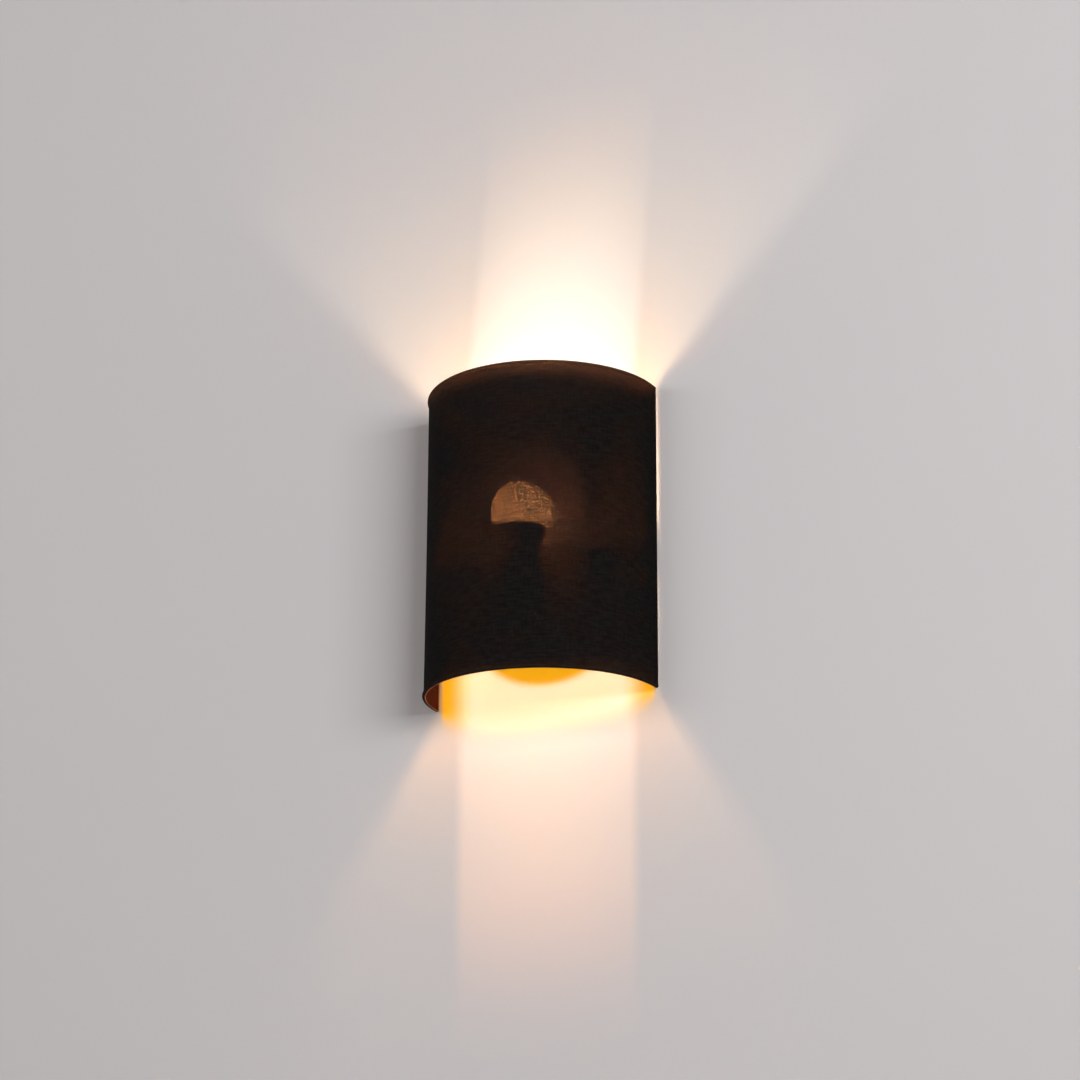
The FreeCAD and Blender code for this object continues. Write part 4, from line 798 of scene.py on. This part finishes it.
def makeEdging(s, total):
    meshes = []
    for side in (-1, 1):
        section = sectionCurve("edgingSection", edgingSection(s, side))
        path = planPath("edgingPath", s, s["beadInset"], total - s["beadInset"], s["planSteps"])
        meshes.append(sweep(path, section, materials["cutFilmEdge"]))
        bpy.data.objects.remove(section)
        rim, turns = s["rimZ"] + s["beadUp"], [math.pi / 2 * i / 3 for i in range(4)]
        rings = [(s["bead"] * math.sin(turn), -rim - s["bead"] * math.cos(turn)) for turn in turns]
        rings += [(s["bead"], -rim + 2 * rim * i / 12) for i in range(1, 12)]
        rings += [(radius, -z) for radius, z in reversed(rings[:4])]
        centre = (side * (s["planRadius"] + s["beadAcross"]), s["endWireY"] + s["beadUp"])
        meshes.append(lathe("endEdging", rings, centre, s["beadAround"], materials["cutFilmEdge"]))
    edging = joinMeshes("filmEdging", meshes, 60)
    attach(edging, "shade")


def makeShade(s):
    cloth, film = materials["blackLinen"], materials["goldFilm"]
    total = planLength(s)
    section = sectionCurve("clothSection", clothSection(s))
    meshes = [sweep(planPath("clothPath", s, 0.0, total, s["planSteps"]), section, cloth)]
    tuck = sectionCurve("tuckSection", tuckSection(s))
    reach = s["turnIn"] + s["endRoll"]
    start, steps = s["tuckStart"], s["tuckSteps"]
    meshes.append(sweep(planPath("rightTuckPath", s, start, reach, steps), tuck, cloth))
    meshes.append(sweep(planPath("leftTuckPath", s, total - reach, total - start, steps), tuck, cloth))
    glued = s["planRadius"] + s["outer"] - s["cloth"] - s["lining"] - s["gluedSlack"]
    for mesh in meshes:  # the turned-in cloth lets light through once, so its glued side is clear
        mesh.materials.append(materials["clearBacking"])
        for face in mesh.polygons:
            middle = face.center
            outward = Vector((middle.x, middle.y - s["arcY"], 0))
            if abs(middle.z) < s["liningTop"] and glued < outward.length < glued + s["gluedBand"]:
                if face.normal.dot(outward.normalized()) > 0.5:
                    face.material_index = 1
    for x in (-s["planRadius"], s["planRadius"]):
        meshes.append(lathe("endRoll", endRollRings(s), (x, s["endWireY"]), s["around"], cloth))
    shadeCloth = joinMeshes("shadeCloth", meshes)
    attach(shadeCloth, "shade")
    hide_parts("shade_cloth")

    sheet = sectionCurve("liningSection", liningSection(s))
    mesh = sweep(planPath("liningPath", s, s["liningStart"], total - s["liningStart"], s["planSteps"]), sheet, film)
    mesh.materials.append(materials["clearBacking"])
    for face in mesh.polygons:  # the glued side and the edges are clear, and only the inside is gold
        middle = face.center
        inward = Vector((-middle.x, s["arcY"] - middle.y, 0)).normalized()
        if face.normal.dot(inward) < 0.5:
            face.material_index = 1
    shadeLiner = joinMeshes("shadeLiner", [mesh])
    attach(shadeLiner, "shade")
    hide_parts("shade_liner")
    makeEdging(s, total)
    for curve in (section, tuck, sheet):
        bpy.data.objects.remove(curve)


makeShade(shadeSizes)
print("shade made")


# holder skirt: a moulded sleeve with finger flutes round its grip
skirtSizes = {"outer": 18.0 * mm, "inner": 15.9 * mm, "axisY": -60.0 * mm, "mouthZ": -30.0 * mm, "footZ": -61.5 * mm,
              "fluteTop": -34.5 * mm, "fluteFoot": -56.5 * mm, "fluteDepth": 0.7 * mm, "flutes": 28,
              "rounding": 0.8 * mm, "cornerSteps": 5, "fluteSteps": 24, "fluteEnds": 6, "around": 336}


def makeSkirt(s):
    outer, inner, rounding, steps = s["outer"], s["inner"], s["rounding"], s["cornerSteps"]
    corner = [(rounding * math.sin(math.pi / 2 * i / steps), rounding * (1 - math.cos(math.pi / 2 * i / steps)))
              for i in range(steps + 1)]
    points = [(inner, s["footZ"], 0.0)]
    points += [(outer - rounding + across, s["footZ"] + rise, 0.0) for across, rise in corner]
    for i in range(s["fluteSteps"] + 1):
        share = i / s["fluteSteps"]
        z = s["fluteFoot"] + (s["fluteTop"] - s["fluteFoot"]) * share
        points.append((outer, z, min(1.0, s["fluteEnds"] * share, s["fluteEnds"] * (1 - share))))
    points += [(outer - rounding + across, s["mouthZ"] - rise, 0.0) for across, rise in reversed(corner)]
    points.append((inner, s["mouthZ"], 0.0))
    centreZ = 0.5 * (s["mouthZ"] + s["footZ"])
    outline = [(-(outward - outer), -(z - centreZ), 0) for outward, z, give in points]
    section = makeCurve("skirtSection", outline, True)
    for point, (outward, z, give) in zip(section.data.splines[0].points, points):
        point.radius = give
    turns = [-2 * math.pi * i / s["around"] for i in range(s["around"])]
    ring = [(outer * math.cos(turn), s["axisY"] + outer * math.sin(turn), centreZ) for turn in turns]
    path = makeCurve("skirtRing", ring, True)
    mesh = sweep(path, section, materials["blackThermoset"], -s["fluteDepth"], s["flutes"])
    bpy.data.objects.remove(section)
    skirt = joinMeshes("holderSkirt", [mesh], 40)
    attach(skirt, "wall_box")
    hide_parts("holder_skirt")


makeSkirt(skirtSizes)
print("holder skirt made")


# which finish each hard CAD piece wears
finishOf = {
    "zincPlatedSteel": ["wall_plate", "cover_screws", "weld_nuts", "terminal_screws", "block_screws", "earth_stud",
                        "earth_washer", "earth_nut", "arm_screws", "arm_nuts", "nipple", "nipple_nut",
                        "holder_terminal_screws"],
    "satinPowderCoat": ["box_cover", "holder_arm", "left_arm", "right_arm"],
    "coatedWire": ["top_rim_wire", "bottom_rim_wire", "left_end_wire", "right_end_wire"],
    "mouldedRubber": ["cable_bush", "lead_bush"],
    "naturalNylon": ["terminal_block"],
    "turnedBrass": ["terminal_tubes", "holder_shell", "centre_contact", "holder_terminals", "bulb_tip",
                    "left_thumb_screw", "right_thumb_screw", "left_washer", "right_washer"],
    "tinnedCopper": ["earth_lug"],
    "brownPvc": ["live_lead"],
    "bluePvc": ["neutral_lead"],
    "greenYellowPvc": ["earth_lead"],
    "blackThermoset": ["holder_cap"],
    "steatite": ["holder_insert"],
    "frostedDiffuser": ["bulb_dome"],
    "bulbPolycarbonate": ["bulb_base"],
    "whiteSolderMask": ["led_board"],
    "yellowPhosphor": ["led_chips"],
    "greenCircuitBoard": ["driver_board"],
    "nickelPlate": ["bulb_cap"],
    "darkVitrite": ["bulb_insulator"],
}


def dressNodes(table):
    for name, nodes in table.items():
        for node in nodes:
            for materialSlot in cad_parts[node].material_slots:
                materialSlot.material = materials[name]


dressNodes(finishOf)
print("CAD pieces dressed")
